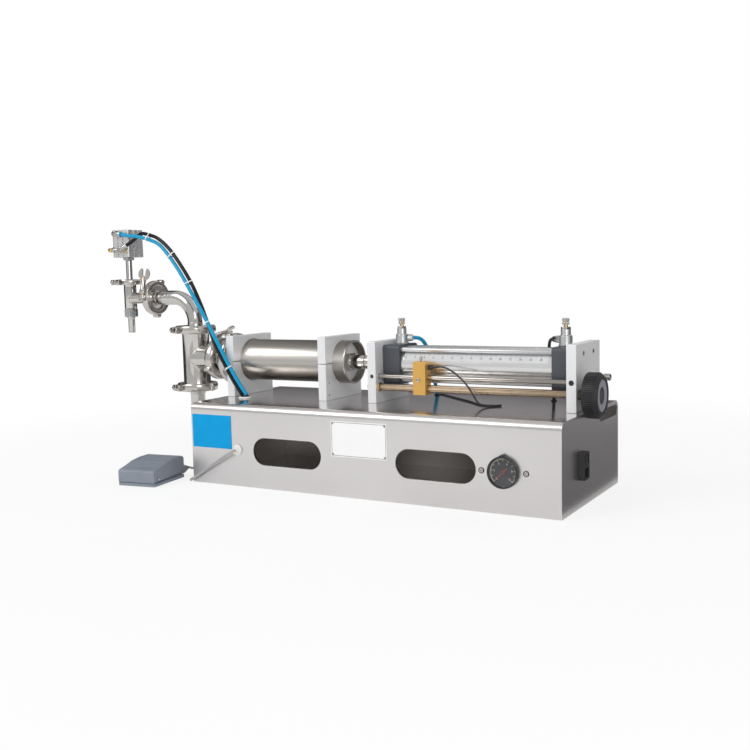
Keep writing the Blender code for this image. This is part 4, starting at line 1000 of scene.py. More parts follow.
def addAirCylinder():
    for nodeName in ("air_cap_front", "air_cap_rear"):
        keep(nodeName, capAlloy, 0.0006)
    length = tubeHigh.x - tubeLow.x
    outline = [(airSet["bore"], 0), (airSet["tube"], 0), (airSet["tube"], length), (airSet["bore"], length)]
    put("airTube", spun(outline, 144, 0.0004), tubeAlloy, onAxis(tubeLow.x), ["air_tube"],
        slot="extruded_aluminium")
    low, high, _ = span("tie_rod_low_front")
    for end, sy, sz in (("low_front", -1, -1), ("high_front", -1, 1),
                        ("low_rear", 1, -1), ("high_rear", 1, 1)):
        at = (low.x, axisY + sy * airSet["tieOffset"], axisZ + sz * airSet["tieOffset"])
        put("tieRod_" + end, bar(airSet["tie"], high.x - low.x, 0, 40), drawnAlloy, (at, alongX),
            ["tie_rod_" + end], slot="stainless")
    addRule()


def addRule():
    # thin printed scale bent round the tube's front, zero at the left
    radius = airSet["tube"] + 0.0003
    start = (tubeLow.x + tubeHigh.x - airSet["ruleLength"]) / 2

    def onTube(x, degrees, lift=0.0):
        a = math.radians(degrees)
        return Vector((x, axisY - (radius + lift) * math.cos(a), axisZ + (radius + lift) * math.sin(a)))

    strip = bmesh.new()
    steps = 14
    lowest, highest = airSet["ruleFrom"], airSet["ruleTo"]
    turns = [lowest + (highest - lowest) * k / steps for k in range(steps + 1)]
    rows = [[strip.verts.new(onTube(x, t)) for t in turns] for x in (start, start + airSet["ruleLength"])]
    for k in range(steps):
        strip.faces.new((rows[0][k], rows[1][k], rows[1][k + 1], rows[0][k + 1]))
    put("strokeRule", strip, ruleFilm, pose())
    ticks = bmesh.new()
    top = highest - 1
    for k in range(airSet["ruleTicks"]):
        x = start + 0.004 + (airSet["ruleLength"] - 0.008) * k / (airSet["ruleTicks"] - 1)
        drop = 9.5 if k % 10 == 0 else 7 if k % 5 == 0 else 4.5
        wide = 0.00022 if k % 5 == 0 else 0.00014
        ends = [onTube(x + s * wide, t, 0.00012)
                for s, t in ((-1, top), (1, top), (1, top - drop), (-1, top - drop))]
        ticks.faces.new([ticks.verts.new(p) for p in ends])
    put("strokeRuleTicks", ticks, inkBlack, pose())
    count = (airSet["ruleTicks"] - 1) // 10
    for k in range(count + 1):
        x = start + 0.004 + (airSet["ruleLength"] - 0.008) * k * 10 / (airSet["ruleTicks"] - 1)
        degrees = top - 14.5
        a = math.radians(degrees)
        up = Vector((0, math.sin(a), math.cos(a)))
        outward = Vector((0, -math.cos(a), math.sin(a)))
        turn = Matrix((Vector((1, 0, 0)), up, outward)).transposed().to_4x4()
        writeNumber("ruleNumber_%d" % k, str(2 * k), 0.0052, onTube(x, degrees, 0.0003), turn, inkBlack)


flowSet = {"frontTurn": 40, "rearTurn": 150, "ribs": 24, "body": 0.0118, "stub": 0.009, "tall": 0.030}


def addFlowValve(side, body):
    foot = span(side + "_flow_valve")[0].z
    spot = Vector((span(side + "_flow_knob")[2].x, axisY, foot))
    where = (spot, upward)
    wide, stub, tall = flowSet["body"], flowSet["stub"], flowSet["tall"]
    outline = [(0, 0), (wide + 0.0012, 0), (wide + 0.0012, 0.003), (wide, 0.0035), (wide, 0.018),
               (wide - 0.001, 0.019), (stub, 0.0195), (stub, tall), (0.0044, tall), (0.0044, tall - 0.008),
               (0, tall - 0.008)]
    put(side + "FlowBody", spun(outline, 72, 0.0006), drawnAlloy, where, [side + "_flow_valve"],
        slot="stainless")
    facing = (0, quarter, math.radians(flowSet[side + "Turn"]))
    hole = hoseSet["valveDiameter"] / 2 + gap
    collet = [(hole, 0.0145), (0, 0.0145), (0, 0.004), (0.007, 0.004), (0.007, 0.0185), (0.0060, 0.022),
              (hole, 0.022)]
    put(side + "FlowCollet", spun(collet, 48, 0.0005), drawnAlloy, (spot + Vector((0, 0, 0.011)), facing))
    put(side + "FlowLock", raised(hexagon(0.0165), 0.004, tall), steelTurned, where, bevel=0.0006)
    neckEnd = tall + 0.008
    knob = [(0, tall - 0.0070), (0.0038, tall - 0.0070), (0.0038, neckEnd), (0, neckEnd)]
    put(side + "FlowNeck", spun(knob, 40, 0.0003), brassPlain, where, body=body)
    ribs = ribbed(flowSet["ribs"], ((0.0, 0.0065), (0.42, 0.0065), (0.5, 0.0060), (0.92, 0.0060)))
    for part, (start, end) in enumerate(((neckEnd, neckEnd + 0.0048), (neckEnd + 0.0060, neckEnd + 0.0118))):
        stands = [side + "_flow_knob"] if part == 0 else []
        put("%sFlowKnob_%d" % (side, part), raised(ribs, end - start, start), steelPolished, where, stands,
            bevel=0.0002, slot="polished_stainless", body=body)
    put(side + "FlowStem", bar(0.0050, 0.0014, neckEnd + 0.0047, 32), brassPlain, where, body=body)


rearSet = {"elbow": [(0.3190, 0.0284, 0.2823), (0.3160, 0.0301, 0.2823), (0.3120, 0.0324, 0.2823),
                     (0.3055, 0.0364, 0.2823)],
           "elbowRadii": [0.0058, 0.0062, 0.0062, 0.0054], "bushPlace": (0.282, 0.100), "bush": 0.0058,
           "frontBush": 0.0068, "plugY": 0.0740, "plugZ": 0.2115}


def addRearElbow():
    # swivel elbow at the rear valve, the bush of its hose in the deck, and the plug beside the wheel
    path = rearSet["elbow"]
    put("rearElbow", swept(path, rearSet["elbowRadii"], 32), blackPlastic, pose())
    put("rearElbowRing", swept(path[1:3], 0.0066, 32), steelPolished, pose())
    for name, (x, y), reach in (("rearHoseBush", rearSet["bushPlace"], rearSet["bush"]),
                                ("frontHoseBush", boxSet["hosePlace"], rearSet["frontBush"])):
        outline = [(reach - 0.0024, 0), (reach, 0), (reach, 0.0012), (reach - 0.0012, 0.0026),
                   (reach - 0.0024, 0.0026)]
        put(name, spun(outline, 40, 0.0003), sealBlack, ((x, y, deckZ + 0.0001), upward))
    plug = ((span("rear_rod_plate")[1].x, rearSet["plugY"], rearSet["plugZ"]), rightward)
    put("endPlugHex", raised(hexagon(0.0125), 0.0050), brassPlain, plug, bevel=0.0005)
    outline = [(0, 0.004), (0.0048, 0.004), (0.0048, 0.0120), (0.0064, 0.0126), (0.0064, 0.0165),
               (0.0052, 0.0172), (0.0064, 0.0180), (0.0064, 0.0230), (0.0050, 0.0245), (0, 0.0245)]
    put("endPlug", spun(outline, 40, 0.0003), steelTurned, plug)


addAirCylinder()
addRearElbow()
addFlowValve("front", "front_flow_screw")
addFlowValve("rear", "rear_flow_screw")
print("air cylinder is tied up")


# stroke adjuster
adjustSet = {"ribs": 66, "wheel": 0.040, "thick": 0.027, "screw": 0.007, "guide": 0.0045, "hub": 0.0095}


def addAdjuster():
    low, high, mid = span("lead_screw")
    put("leadScrew", bar(adjustSet["screw"], high.x - low.x, 0, 48, 0.0008), brassThread,
        ((low.x, mid.y, mid.z), alongX), ["lead_screw"], slot="brass", body="stroke_screw")
    low, high, mid = span("screw_bush")
    hole, outer, length = adjustSet["screw"] + 0.0004, 0.0085, high.x - low.x
    outline = [(hole, 0), (outer + 0.002, 0), (outer + 0.002, 0.0027), (outer, 0.0027), (outer, length),
               (hole, length)]
    put("screwBush", spun(outline, 48, 0.0003), brassPlain, ((low.x, mid.y, mid.z), alongX), ["screw_bush"],
        slot="brass")
    low, high, mid = span("guide_rod")
    put("guideRod", bar(adjustSet["guide"], high.x - low.x, 0, 40, 0.0006), guideSteel,
        ((low.x, mid.y, mid.z), alongX), ["guide_rod"], slot="polished_stainless")
    addWheel()
    addSensor()


def addWheel():
    low, high, _ = span("handwheel")
    radius, thick = adjustSet["wheel"], adjustSet["thick"]
    start = high.x - thick
    centre = (start, screwMid.y, screwMid.z)
    where = (centre, rightward)
    valley = radius - 0.0016
    ribs = ribbed(adjustSet["ribs"], ((0.0, radius), (0.40, radius), (0.55, valley), (0.85, valley)))
    shell = [(0, -0.001), (radius - 0.002, -0.001), (radius + 0.001, 0.003),
             (radius + 0.001, thick - 0.0075), (radius - 0.0065, thick + gap), (0, thick + gap)]
    cuts = [cutter(bar(0.0285, 0.006, thick - 0.0022, 72, 0), where),
            cutter(bar(0.0073, 0.060, -0.020, 48, 0), where)]
    wheel = carved("handwheelRim", raised(ribs, thick), blackPlastic, where, cuts,
                   shell=cutter(spun(shell, 96, 0), where), crease=30)
    assign(wheel, "stroke_screw", ["handwheel"], "black_plastic")
    steps = ((0.0132, 0.0078), (0.0283, 0.0078), (0.0283, 0.0014), (0.0270, 0.0008), (0.0170, 0.0008),
             (0.0150, 0.0020), (0.0132, 0.0038))
    disc = [(r, thick - drop) for r, drop in steps]
    put("handwheelFace", spun(disc, 96, 0.0005), wheelFace, where, body="stroke_screw")
    wide, inner = adjustSet["hub"], low.x - start + gap
    hub = [(0.0073, inner), (wide, inner), (wide, 0.001), (0.0073, 0.001)]
    put("handwheelHub", spun(hub, 48, 0.0005), blackPlastic, where, body="stroke_screw")
    put("handwheelNut", raised(hexagon(0.017), 0.0052, thick - 0.0078), capAlloy, where, bevel=0.0008,
        body="stroke_screw")


def addSensor():
    keep("sensor_block", goldAlloy, 0.0008)
    low, high, mid = span("sensor_block")
    pin = [(0, -0.001), (0.0016, -0.001), (0.0016, 0.0035), (0.0030, 0.0035), (0.0030, 0.0085),
           (0.0022, 0.0100), (0, 0.0100)]
    put("blockPin", spun(pin, 32, 0.0003), steelTurned, ((mid.x - 0.001, mid.y, high.z), upward),
        body="sensor_carriage")
    domeScrew("blockScrew", (mid.x - 0.0020, low.y, guideMid.z - 0.004), forward, 0.0040, steelTurned,
              "sensor_carriage", 0.0030)
    low, high, mid = span("reed_sensor")
    size = (high.z - low.z) / 2
    length = high.x - low.x
    waist = size * 0.8
    outline = [(0, 0), (size, 0), (size, length * 0.28), (waist, length * 0.32), (waist, length * 0.42),
               (size, length * 0.46), (size, length * 0.66), (0.0026, length), (0, length)]
    put("reedSensor", spun(outline, 40, 0.0004), darkCord, ((low.x, mid.y, mid.z), alongX), ["reed_sensor"],
        slot="dark_cord", body="sensor_carriage")


addAdjuster()
print("stroke adjuster is in")


# valve group: head, tee, inlet pipe and elbow
valveSet = {"rim": 0.0028, "taper": 0.0017, "faceGap": 0.002, "teeRadius": 0.0295, "teeRim": 0.038,
            "branchRadius": 0.029, "branchRim": 0.039, "branchLength": 0.066, "wall": 0.0015,
            "headLength": 0.043, "pipe": 0.016, "bend": 0.055, "neck": 0.0145, "run": 0.0565,
            "elbowRim": 0.032, "drop": 0.066, "bead": 0.0011}


def addHead():
    v = valveSet
    bore, small, rim = cylinderSet["bore"] / 2, v["branchRadius"], v["branchRim"]
    big, hollow = cylinderSet["headRim"], small - v["wall"]
    lip, length = v["rim"] + v["taper"], v["headLength"]
    cone = [(big - 0.006 - (big - 0.006 - small) * (0.5 - 0.5 * math.cos(math.pi * t / 10)),
             0.0095 + 0.0205 * t / 10) for t in range(11)]
    outline = ([(bore, 0), (big, 0), (big, v["rim"]), (big - 0.0045, lip), (big - 0.006, lip)] + cone
               + [(small, length - lip), (rim - 0.0045, length - lip), (rim, length - v["rim"]),
                  (rim, length), (hollow, length), (hollow, 0.031), (bore, 0.008)])
    put("cylinderHead", spun(outline, 128, 0.0006), steelPolished,
        ((ferruleX - v["faceGap"], axisY, axisZ), (0, -quarter, 0)), ["cylinder_head"],
        slot="polished_stainless")
    beadRing((ferruleX - v["faceGap"] - 0.0305, axisY, axisZ), v["branchRadius"], alongX, "headWeld")


def beadRing(at, radius, facing, name):
    size = valveSet["bead"]
    steps = 10
    outline = [(radius + size * math.sin(math.pi * k / steps) * 0.55, size * math.cos(math.pi * k / steps))
               for k in range(steps + 1)] + [(radius - 0.001, -size), (radius - 0.001, size)]
    put(name, spun(outline, 96, 0), steelCast, (at, facing))


def saddleRoute(x, upright, level, branch, sink, count):
    # the line where a level branch meets an upright round body
    route = []
    for k in range(count + 1):
        a = 2 * math.pi * k / count
        y, z = branch * math.sin(a), branch * math.cos(a)
        route.append((x + math.sqrt(max(upright ** 2 - y * y, 0)) - sink, axisY + y, level + z))
    return route


def addTee():
    v = valveSet
    length = teeTop - teeBottom
    upper = [(r, length - h) for r, h in ferrule(v["teeRim"], v["teeRadius"], length / 2)]
    outline = ferrule(v["teeRim"], v["teeRadius"], length / 2) + upper[-2::-1] + [(0, length), (0, 0)]
    where = ((teeX, axisY, teeBottom), upward)
    reach, r, rim = v["branchLength"], v["branchRadius"], v["branchRim"]
    under = reach - v["rim"] - v["taper"]
    arm = [(0, 0), (r, 0), (r, under), (rim - 0.0045, under), (rim, reach - v["rim"]), (rim, reach),
           (0, reach)]
    across = onAxis(teeX)
    bore = v["teeRadius"] - v["wall"]
    seat = length - 0.024
    well = [(0, -0.002), (bore, -0.002), (bore, seat), (0.017, seat + 0.002), (0.017, seat + 0.004),
            (bore, seat + 0.006), (bore, length + 0.002), (0, length + 0.002)]
    cuts = [cutter(spun(well, 96, 0), where), cutter(bar(r - v["wall"], reach + 0.002, 0, 96, 0), across)]
    tee = carved("teeBody", spun(outline, 128, 0.0006), steelPolished, where, cuts,
                 [cutter(spun(arm, 128, 0.0006), across)], crease=34)
    assign(tee, "machine", ["tee_body"], "polished_stainless")
    saddle = saddleRoute(teeX, v["teeRadius"], axisZ, r, 0.0003, 96)
    put("teeWeld", swept(saddle, v["bead"], 10), steelCast, pose())
    for nodeName in ("inlet_check", "outlet_check"):
        keep(nodeName, palePlastic, 0.0004)


def addInletPipe():
    v = valveSet
    inside = v["pipe"] - v["wall"]
    top = v["rim"] + v["taper"]
    pipe, rim = v["pipe"], v["teeRim"]
    outline = [(inside, 0), (rim, 0), (rim, v["rim"]), (rim - 0.0045, top), (pipe + 0.0045, top),
               (pipe + 0.0035, top + 0.006), (pipe + 0.0008, top + 0.010), (pipe, top + 0.0115),
               (pipe, v["drop"]), (inside, v["drop"])]
    where = ((teeX, axisY, teeBottom - v["faceGap"]), downward)
    put("inletPipe", spun(outline, 96, 0.0005), steelPolished, where, ["inlet_pipe"],
        slot="polished_stainless")


def addElbow():
    v = valveSet
    low = teeTop + v["faceGap"]
    centre = Vector((teeX - v["bend"], axisY, low + v["neck"]))
    path = [Vector((teeX, axisY, low + v["rim"])), Vector((teeX, axisY, low + v["neck"] * 0.6))]
    for k in range(41):
        a = quarter * k / 40
        path.append(centre + Vector((v["bend"] * math.cos(a), 0, v["bend"] * math.sin(a))))
    endX = teeX - v["bend"] - v["run"]
    level = low + v["neck"] + v["bend"]
    path += [Vector((endX + v["run"] * s, axisY, level)) for s in (0.75, 0.5, 0.25, 0.02)]
    put("elbowPipe", swept(path, v["pipe"], 64), steelPolished, pose(), ["elbow_pipe"],
        slot="polished_stainless")
    foot = [(0, 0), *ferrule(v["teeRim"], v["pipe"] + 0.0006, v["neck"] - 0.002), (0, v["neck"] - 0.002)]
    put("elbowFoot", spun(foot, 96, 0.0005), steelPolished, ((teeX, axisY, low), upward))
    end = [(0, 0), *ferrule(v["elbowRim"], v["pipe"] + 0.0006, 0.008), (0, 0.008)]
    put("elbowEnd", spun(end, 96, 0.0005), steelPolished, ((endX, axisY, level), alongX))
    beadRing((teeX, axisY, low + v["neck"] - 0.0015), v["pipe"], upward, "elbowWeldLow")
    beadRing((endX + 0.0085, axisY, level), v["pipe"], alongX, "elbowWeldEnd")
    return endX, level


# clamps
clampSet = {"width": 0.017, "slim": 0.013, "wall": 0.007, "bolt": 0.0035, "boltOut": 0.005,
            "knuckle": 0.006, "knuckleTurn": 105, "hub": 0.0055, "short": 0.010}


def onBolt(where, out, angle, along=0.0):
    at = (out * math.cos(angle) + along * math.sin(angle), out * math.sin(angle) - along * math.cos(angle), 0)
    return where @ pose(at, (quarter, 0, angle))


def clampBand(edge, outside, width):
    half = width / 2
    steep = math.radians(78)
    crown = []
    for k in range(9):
        t = steep * (k / 4 - 1)
        crown.append((outside - 0.0026 * (1 - math.cos(t)) / (1 - math.cos(steep)),
                      half * math.sin(t) / math.sin(steep)))
    groove = [(edge - 0.0040, 0.0052), (edge + 0.0005, 0.0030), (edge + 0.0005, -0.0030),
              (edge - 0.0040, -0.0052)]
    return [(edge - 0.0034, -half)] + crown + [(edge - 0.0034, half)] + groove


def addClamp(nodeName, edge, at, facing, degrees, width=clampSet["width"], wings=None):
    # a band in hinged pieces, drawn together by a bolt with a nut or a wing nut
    c = clampSet
    label = nodeName.replace("_", "")
    where = pose(at, facing)
    angle = math.radians(degrees)
    outside = edge + c["wall"]
    out = outside + c["boltOut"]
    short = c["short"]
    earEnd = math.sqrt((outside + gap) ** 2 - (out - c["hub"]) ** 2) + gap if wings else short
    boltEnd = earEnd + (0.030 if wings else 0.008)
    put(label + "Band", spun(clampBand(edge, outside, width), 128, 0.0005), steelCast, where, [nodeName],
        slot="polished_stainless")
    deep = width - 0.003
    for part, (start, end) in enumerate(((-short, -0.0013), (0.0013, earEnd))):
        put("%sEar_%d" % (label, part), raised(rectangle(0.012, deep, 0.0035, 5), end - start, start),
            steelCast, onBolt(where, out - 0.001, angle), bevel=0.0009)
    boltAt = onBolt(where, out, angle)
    put(label + "Bolt", bar(c["bolt"], short + 0.005 + boltEnd, -short - 0.005, 36, 0.0006),
        brassPlain if wings else steelTurned, boltAt)
    put(label + "BoltEye", raised(hexagon(0.0115), 0.0045, -short - 0.0046), steelTurned, boltAt,
        bevel=0.0006)
    for k, side in enumerate((-1, 1)):
        a = angle + side * math.radians(c["knuckleTurn"])
        spot = where @ Matrix.Translation((outside * math.cos(a), outside * math.sin(a), 0))
        knuckle = bar(c["knuckle"], width - 0.002, 0.001 - width / 2, 40, 0.0009)
        put("%sKnuckle_%d" % (label, k), knuckle, steelCast, spot)
        pin = bar(0.0021, width + 0.0004, -width / 2 - 0.0002, 24, 0.0005)
        put("%sPin_%d" % (label, k), pin, steelTurned, spot)
    if not wings:
        put(label + "Nut", raised(hexagon(0.012), 0.006, short - 0.001), steelTurned, boltAt,
            bevel=0.0007)
        return
    nutNode, turn, body = wings
    nutAt = onBolt(where, out, angle, earEnd + gap)
    hole = c["bolt"] + 0.0004
    stem = [(hole, 0), (0.0062, 0), (0.0062, 0.0025), (c["hub"], 0.0035), (c["hub"] - 0.0004, 0.021),
            (0.0048, 0.024), (hole, 0.024)]
    put(label + "WingStem", spun(stem, 48, 0.0005), steelCast, nutAt, [nutNode], slot="polished_stainless",
        body=body)
    half = [(0.0045, 0.010), (0.0050, 0.018), (0.0062, 0.0245), (0.0103, 0.029), (0.0125, 0.036),
            (0.0119, 0.043), (0.0091, 0.0485), (0.0058, 0.0500), (0.0032, 0.0465), (0.0025, 0.0340)]
    curved = [(p.x, p.y) for p in smoothRoute([(x, y, 0) for x, y in half], 0.0011)]
    outline = curved + [(-x, y) for x, y in reversed(curved)]
    blade = raised(outline, 0.005, -0.0025)
    put(label + "Wings", blade, steelCast, nutAt @ pose((0, 0, 0), (quarter, 0, math.radians(turn))),
        bevel=0.0011, crease=40, body=body)


def addClamps(endX, level):
    half = valveSet["faceGap"] / 2
    rim = valveSet["teeRim"]
    addClamp("tee_top_clamp", rim, (teeX, axisY, teeTop + half), upward, 250)
    addClamp("tee_bottom_clamp", rim, (teeX, axisY, teeBottom - half), upward, 250)
    addClamp("branch_clamp", valveSet["branchRim"], (teeX + valveSet["branchLength"] + half, axisY, axisZ),
             alongX, 190, wings=("branch_wing_nut", 35, "branch_nut"))
    addClamp("head_clamp", cylinderSet["headRim"], (ferruleX - half, axisY, axisZ), alongX, 100)
    addClamp("elbow_clamp", valveSet["elbowRim"], (endX - half, axisY, level), alongX, 258,
             wings=("elbow_wing_nut", -60, "elbow_nut"))
    addClamp("nozzle_clamp", nozzleSet["rim"], (nozzleX, axisY, nozzleSet["top"] + half), upward, 262,
             width=clampSet["slim"])


# nozzle with its air cylinder
nozzleSet = {"radius": 0.014, "rim": 0.025, "reach": 0.076, "armRadius": 0.0125, "top": 0.403,
             "bottom": 0.344, "nut": 0.027, "nutHeight": 0.020, "tip": 0.0075, "tipLength": 0.036,
             "post": 0.007, "postLength": 0.0555, "side": 0.049, "height": 0.062, "postTop": 0.4605,
             "screwReach": 0.0175,
             "high": (-0.7145, -0.016, 0.5135), "low": (-0.700, -0.016, 0.477), "highReach": 0.021,
             "lowReach": 0.018, "dip": 6, "rise": 32, "turn": 20}


def addNozzle(level):
    n = nozzleSet
    height = n["top"] - n["bottom"]
    top = [(r, height - h) for r, h in ferrule(n["rim"], n["radius"], 0.012)]
    outline = [(0, 0), (n["radius"], 0)] + top[::-1] + [(0, height)]
    where = ((nozzleX, axisY, n["bottom"]), upward)
    across = ((nozzleX, axisY, level), alongX)
    reach, rim = n["reach"], valveSet["elbowRim"]
    arm = [(0, 0), (n["armRadius"], 0), (n["armRadius"], reach - 0.018),
           (n["armRadius"] + 0.0012, reach - 0.0155), (rim - 0.0125, reach - 0.009),
           (rim - 0.0085, reach - 0.0068), (rim - 0.0045, reach - 0.0045), (rim, reach - 0.0028),
           (rim, reach), (0, reach)]
    bore = n["radius"] - 0.002
    cuts = [cutter(bar(bore, height + 0.004, -0.002, 64, 0), where),
            cutter(bar(0.0105, reach + 0.002, 0, 48, 0), across)]
    body = carved("nozzleBody", spun(outline, 96, 0.0005), steelPolished, where, cuts,
                  [cutter(spun(arm, 96, 0.0005), across)], crease=34)
    assign(body, "machine", ["nozzle_body"], "polished_stainless")
    saddle = saddleRoute(nozzleX, n["radius"], level, n["armRadius"], 0.0002, 64)
    put("nozzleWeld", swept(saddle, 0.0009, 8), steelCast, pose())
    addNozzleTip()
    low = n["top"] + valveSet["faceGap"]
    outline = [(0.0034, 0), *ferrule(n["rim"], n["post"], n["postLength"] - gap),
               (0.0034, n["postLength"] - gap)]
    put("nozzleBridge", spun(outline, 72, 0.0005), steelPolished, ((nozzleX, axisY, low), upward),
        ["nozzle_bridge"], slot="polished_stainless")
    put("bridgeLock", raised(hexagon(0.022), 0.006, n["postLength"] - 0.0064), steelTurned,
        ((nozzleX, axisY, low), upward), bevel=0.0008)
    keep("nozzle_stem", steelPolished, 0.0002)


def addNozzleTip():
    n = nozzleSet
    top = n["bottom"] - gap
    where = ((nozzleX, axisY, top), upward)
    corner = n["nut"] / math.sqrt(3)
    cap = spun([(0, 0.001), (n["nut"] / 2 - 0.001, 0.001), (corner + 0.0005, -0.0035),
                (corner + 0.0005, 0.0035 - n["nutHeight"]), (n["nut"] / 2 - 0.001, -0.001 - n["nutHeight"]),
                (0, -0.001 - n["nutHeight"])], 96, 0)
    end = -n["nutHeight"] - n["tipLength"]
    mouth = n["tip"] - 0.0015
    flow = [(0, end - 0.002), (mouth, end - 0.002), (mouth, -n["nutHeight"] - 0.002),
            (0.010, 0.006 - n["nutHeight"]), (0.010, 0.004), (0, 0.004)]
    spout = [(0, -n["nutHeight"] + 0.002), (n["tip"] + 0.0015, -n["nutHeight"] + 0.002),
             (n["tip"] + 0.0015, -n["nutHeight"] - 0.002), (n["tip"], -n["nutHeight"] - 0.004),
             (n["tip"], end), (0, end)]
    tip = carved("nozzleNut", raised(hexagon(n["nut"]), n["nutHeight"], -n["nutHeight"]), steelPolished,
                 where, [cutter(spun(flow, 64, 0), where)], [cutter(spun(spout, 64, 0.0004), where)],
                 cutter(cap, where), crease=28)
    assign(tip, "machine", ["nozzle_tip"], "polished_stainless")


def slottedSquare(side, corner, slots, wide, deep):
    half = side / 2
    points = []
    for turn in range(4):
        a = quarter * turn
        row = []
        for s in slots:
            row += [(s - wide / 2, -half), (s - wide / 2, -half + deep), (s + wide / 2, -half + deep),
                    (s + wide / 2, -half)]
        row += arc((half - corner, -half + corner), corner, -90, 0, 5)
        points += [(x * math.cos(a) - y * math.sin(a), x * math.sin(a) + y * math.cos(a)) for x, y in row]
    return points


def addNozzleCylinder():
    n = nozzleSet
    where = ((nozzleX, axisY, n["postTop"]), upward)
    block = raised(slottedSquare(n["side"], 0.004, (-0.0075, 0.0075), 0.003, 0.003), n["height"])
    put("nozzleCylinder", block, tubeAlloy, where, ["nozzle_air_cylinder"], bevel=0.0004,
        slot="extruded_aluminium")
    lid = [(0, n["height"] - 0.001), (0.0155, n["height"] - 0.001), (0.0155, n["height"]),
           (0.0145, n["height"]), (0.0145, n["height"] - 0.0004), (0, n["height"] - 0.0004)]
    put("nozzleCylinderLid", spun(lid, 72, 0.0002), steelTurned, where)
    for k, (sx, sy) in enumerate(((-1, -1), (1, -1), (1, 1), (-1, 1))):
        at = (nozzleX + sx * n["screwReach"], axisY + sy * n["screwReach"],
              n["postTop"] + n["height"] - 0.0016)
        capScrew("nozzleCylinderScrew_%d" % k, at, upward, 0.0035, 0.0014)
    face = axisY - n["side"] / 2
    for label, spot in (("high", n["high"]), ("low", n["low"])):
        boss = [(0, -0.002), (0.005, -0.002), (0.005, 0.006), (0.0072, 0.008), (0.0072, 0.015),
                (0.0060, 0.0165), (0, 0.0165)]
        put(label + "FittingBody", spun(boss, 48, 0.0005), steelTurned, ((spot[0], face, spot[2]), forward))
        put(label + "FittingHex", raised(hexagon(0.0125), 0.0040, 0.0004), brassPlain,
            ((spot[0], face, spot[2]), forward), bevel=0.0005)
    hole = hoseSet["diameter"] / 2 + gap
    end = n["highReach"]
    facing = (0, quarter + math.radians(n["dip"]), 0)
    collet = [(0, -0.005), (0.0062, -0.005), (0.0062, end - 0.004), (0.0054, end - 0.0034),
              (hole, end - 0.0034), (hole, end - 0.012), (0, end - 0.012)]
    put("highCollet", spun(collet, 48, 0.0005), steelTurned, (n["high"], facing))
    cuff = [(hole, end - 0.0036), (0.0056, end - 0.0036), (0.0056, end - 0.0014), (0.0048, end), (hole, end)]
    put("highCuff", spun(cuff, 48, 0.0003), blueSkin, (n["high"], facing))
    end = n["lowReach"]
    facing = (0, quarter - math.radians(n["rise"]), math.radians(n["turn"]))
    collet = [(0, 0), (0.0058, 0), (0.0058, end - 0.003), (0.0050, end - 0.002), (hole, end - 0.002),
              (hole, end - 0.010), (0, end - 0.010)]
    put("lowCollet", spun(collet, 48, 0.0005), steelTurned, (n["low"], facing))
    cuff = [(hole, end - 0.0026), (0.0052, end - 0.0026), (0.0052, end - 0.001), (0.0047, end), (hole, end)]
    put("lowCuff", spun(cuff, 48, 0.0003), tieWhite, (n["low"], facing))
    throttle = [(0, 0), (0.0042, 0), (0.0042, 0.014), (0.0062, 0.015), (0.0062, 0.021), (0.0035, 0.022),
                (0.0035, 0.024), (0, 0.024)]
    put("throttleBody", spun(throttle, 48, 0.0004), steelTurned, (n["low"], (0, -quarter, 0)))
    knob = [(0, 0.023), (0.0035, 0.023), (0.0050, 0.025), (0.0045, 0.034), (0.0030, 0.035), (0, 0.035)]
    put("throttleKnob", spun(knob, 48, 0.0004), brassPlain, (n["low"], (0, -quarter, 0)))


addHead()
addTee()
addInletPipe()
pipeEnd, pipeLevel = addElbow()
addClamps(pipeEnd, pipeLevel)
addNozzle(pipeLevel)
addNozzleCylinder()
print("valve group and nozzle are clamped up")


# foot pedal
def addPedal():
    keep("pedal_base", pedalPaint, 0.0012)
    keep("treadle", pedalPaint, 0.0016)
    p = pedalSet
    half = p["depth"] / 2
    turn = pose((p["place"][0], p["place"][1], 0), (0, 0, p["turn"]))
    for k in range(p["ribs"]):  # tread ribs over the sloping top
        y = -half * 0.52 + p["ribGap"] * k
        rise = [(-half * 0.6, p["back"] - 0.0095), (-half * 0.15, p["back"] - 0.003),
                (half * 0.35, p["back"]), (half, p["back"])]
        spot = next(i for i in range(3) if y <= rise[i + 1][0])
        (y0, z0), (y1, z1) = rise[spot], rise[spot + 1]
        slope = math.atan2(z1 - z0, y1 - y0)
        z = z0 + (z1 - z0) * (y - y0) / (y1 - y0)
        put("treadRib_%d" % k, raised(rectangle(0.062, 0.0032, 0.0014, 4), 0.0009, -0.0004), pedalPaint,
            turn @ pose((0, y, z), (slope, 0, 0)), bevel=0.0003, body="pedal_treadle")
    for k, side in enumerate((-1, 1)):
        at = onPedal(side * (p["width"] / 2 - 0.0004), -half + 0.016, 0.0135)
        domeScrew("pedalPin_%d" % k, at, (quarter, 0, side * quarter + p["turn"]), 0.0040, height=0.0014)
    hole = hoseSet["cordDiameter"] / 2 + 0.0002
    gland = [(hole, 0.006), (0.0078, 0.006), (0.0078, 0.0085), (0.0072, 0.0092), (0.0072, 0.0150),
             (0.0062, 0.0205), (0.0048, 0.0275), (0.0036, 0.0335), (hole, 0.0335)]
    where = (onPedal(p["glandX"], half, p["glandZ"]), (quarter, 0, math.pi + p["turn"]))
    put("pedalRelief", spun(gland, 48, 0.0006), blackPlastic, where)
    for k in range(4):
        edge = 0.0068 - 0.0005 * k
        fin = [(0.0046, 0), (edge, 0.0003), (edge, 0.0016), (0.0046, 0.0019)]
        at = onPedal(p["glandX"], half + 0.0175 + 0.0034 * k, p["glandZ"])
        put("reliefRing_%d" % k, spun(fin, 48, 0.0003), blackPlastic, (at, where[1]))


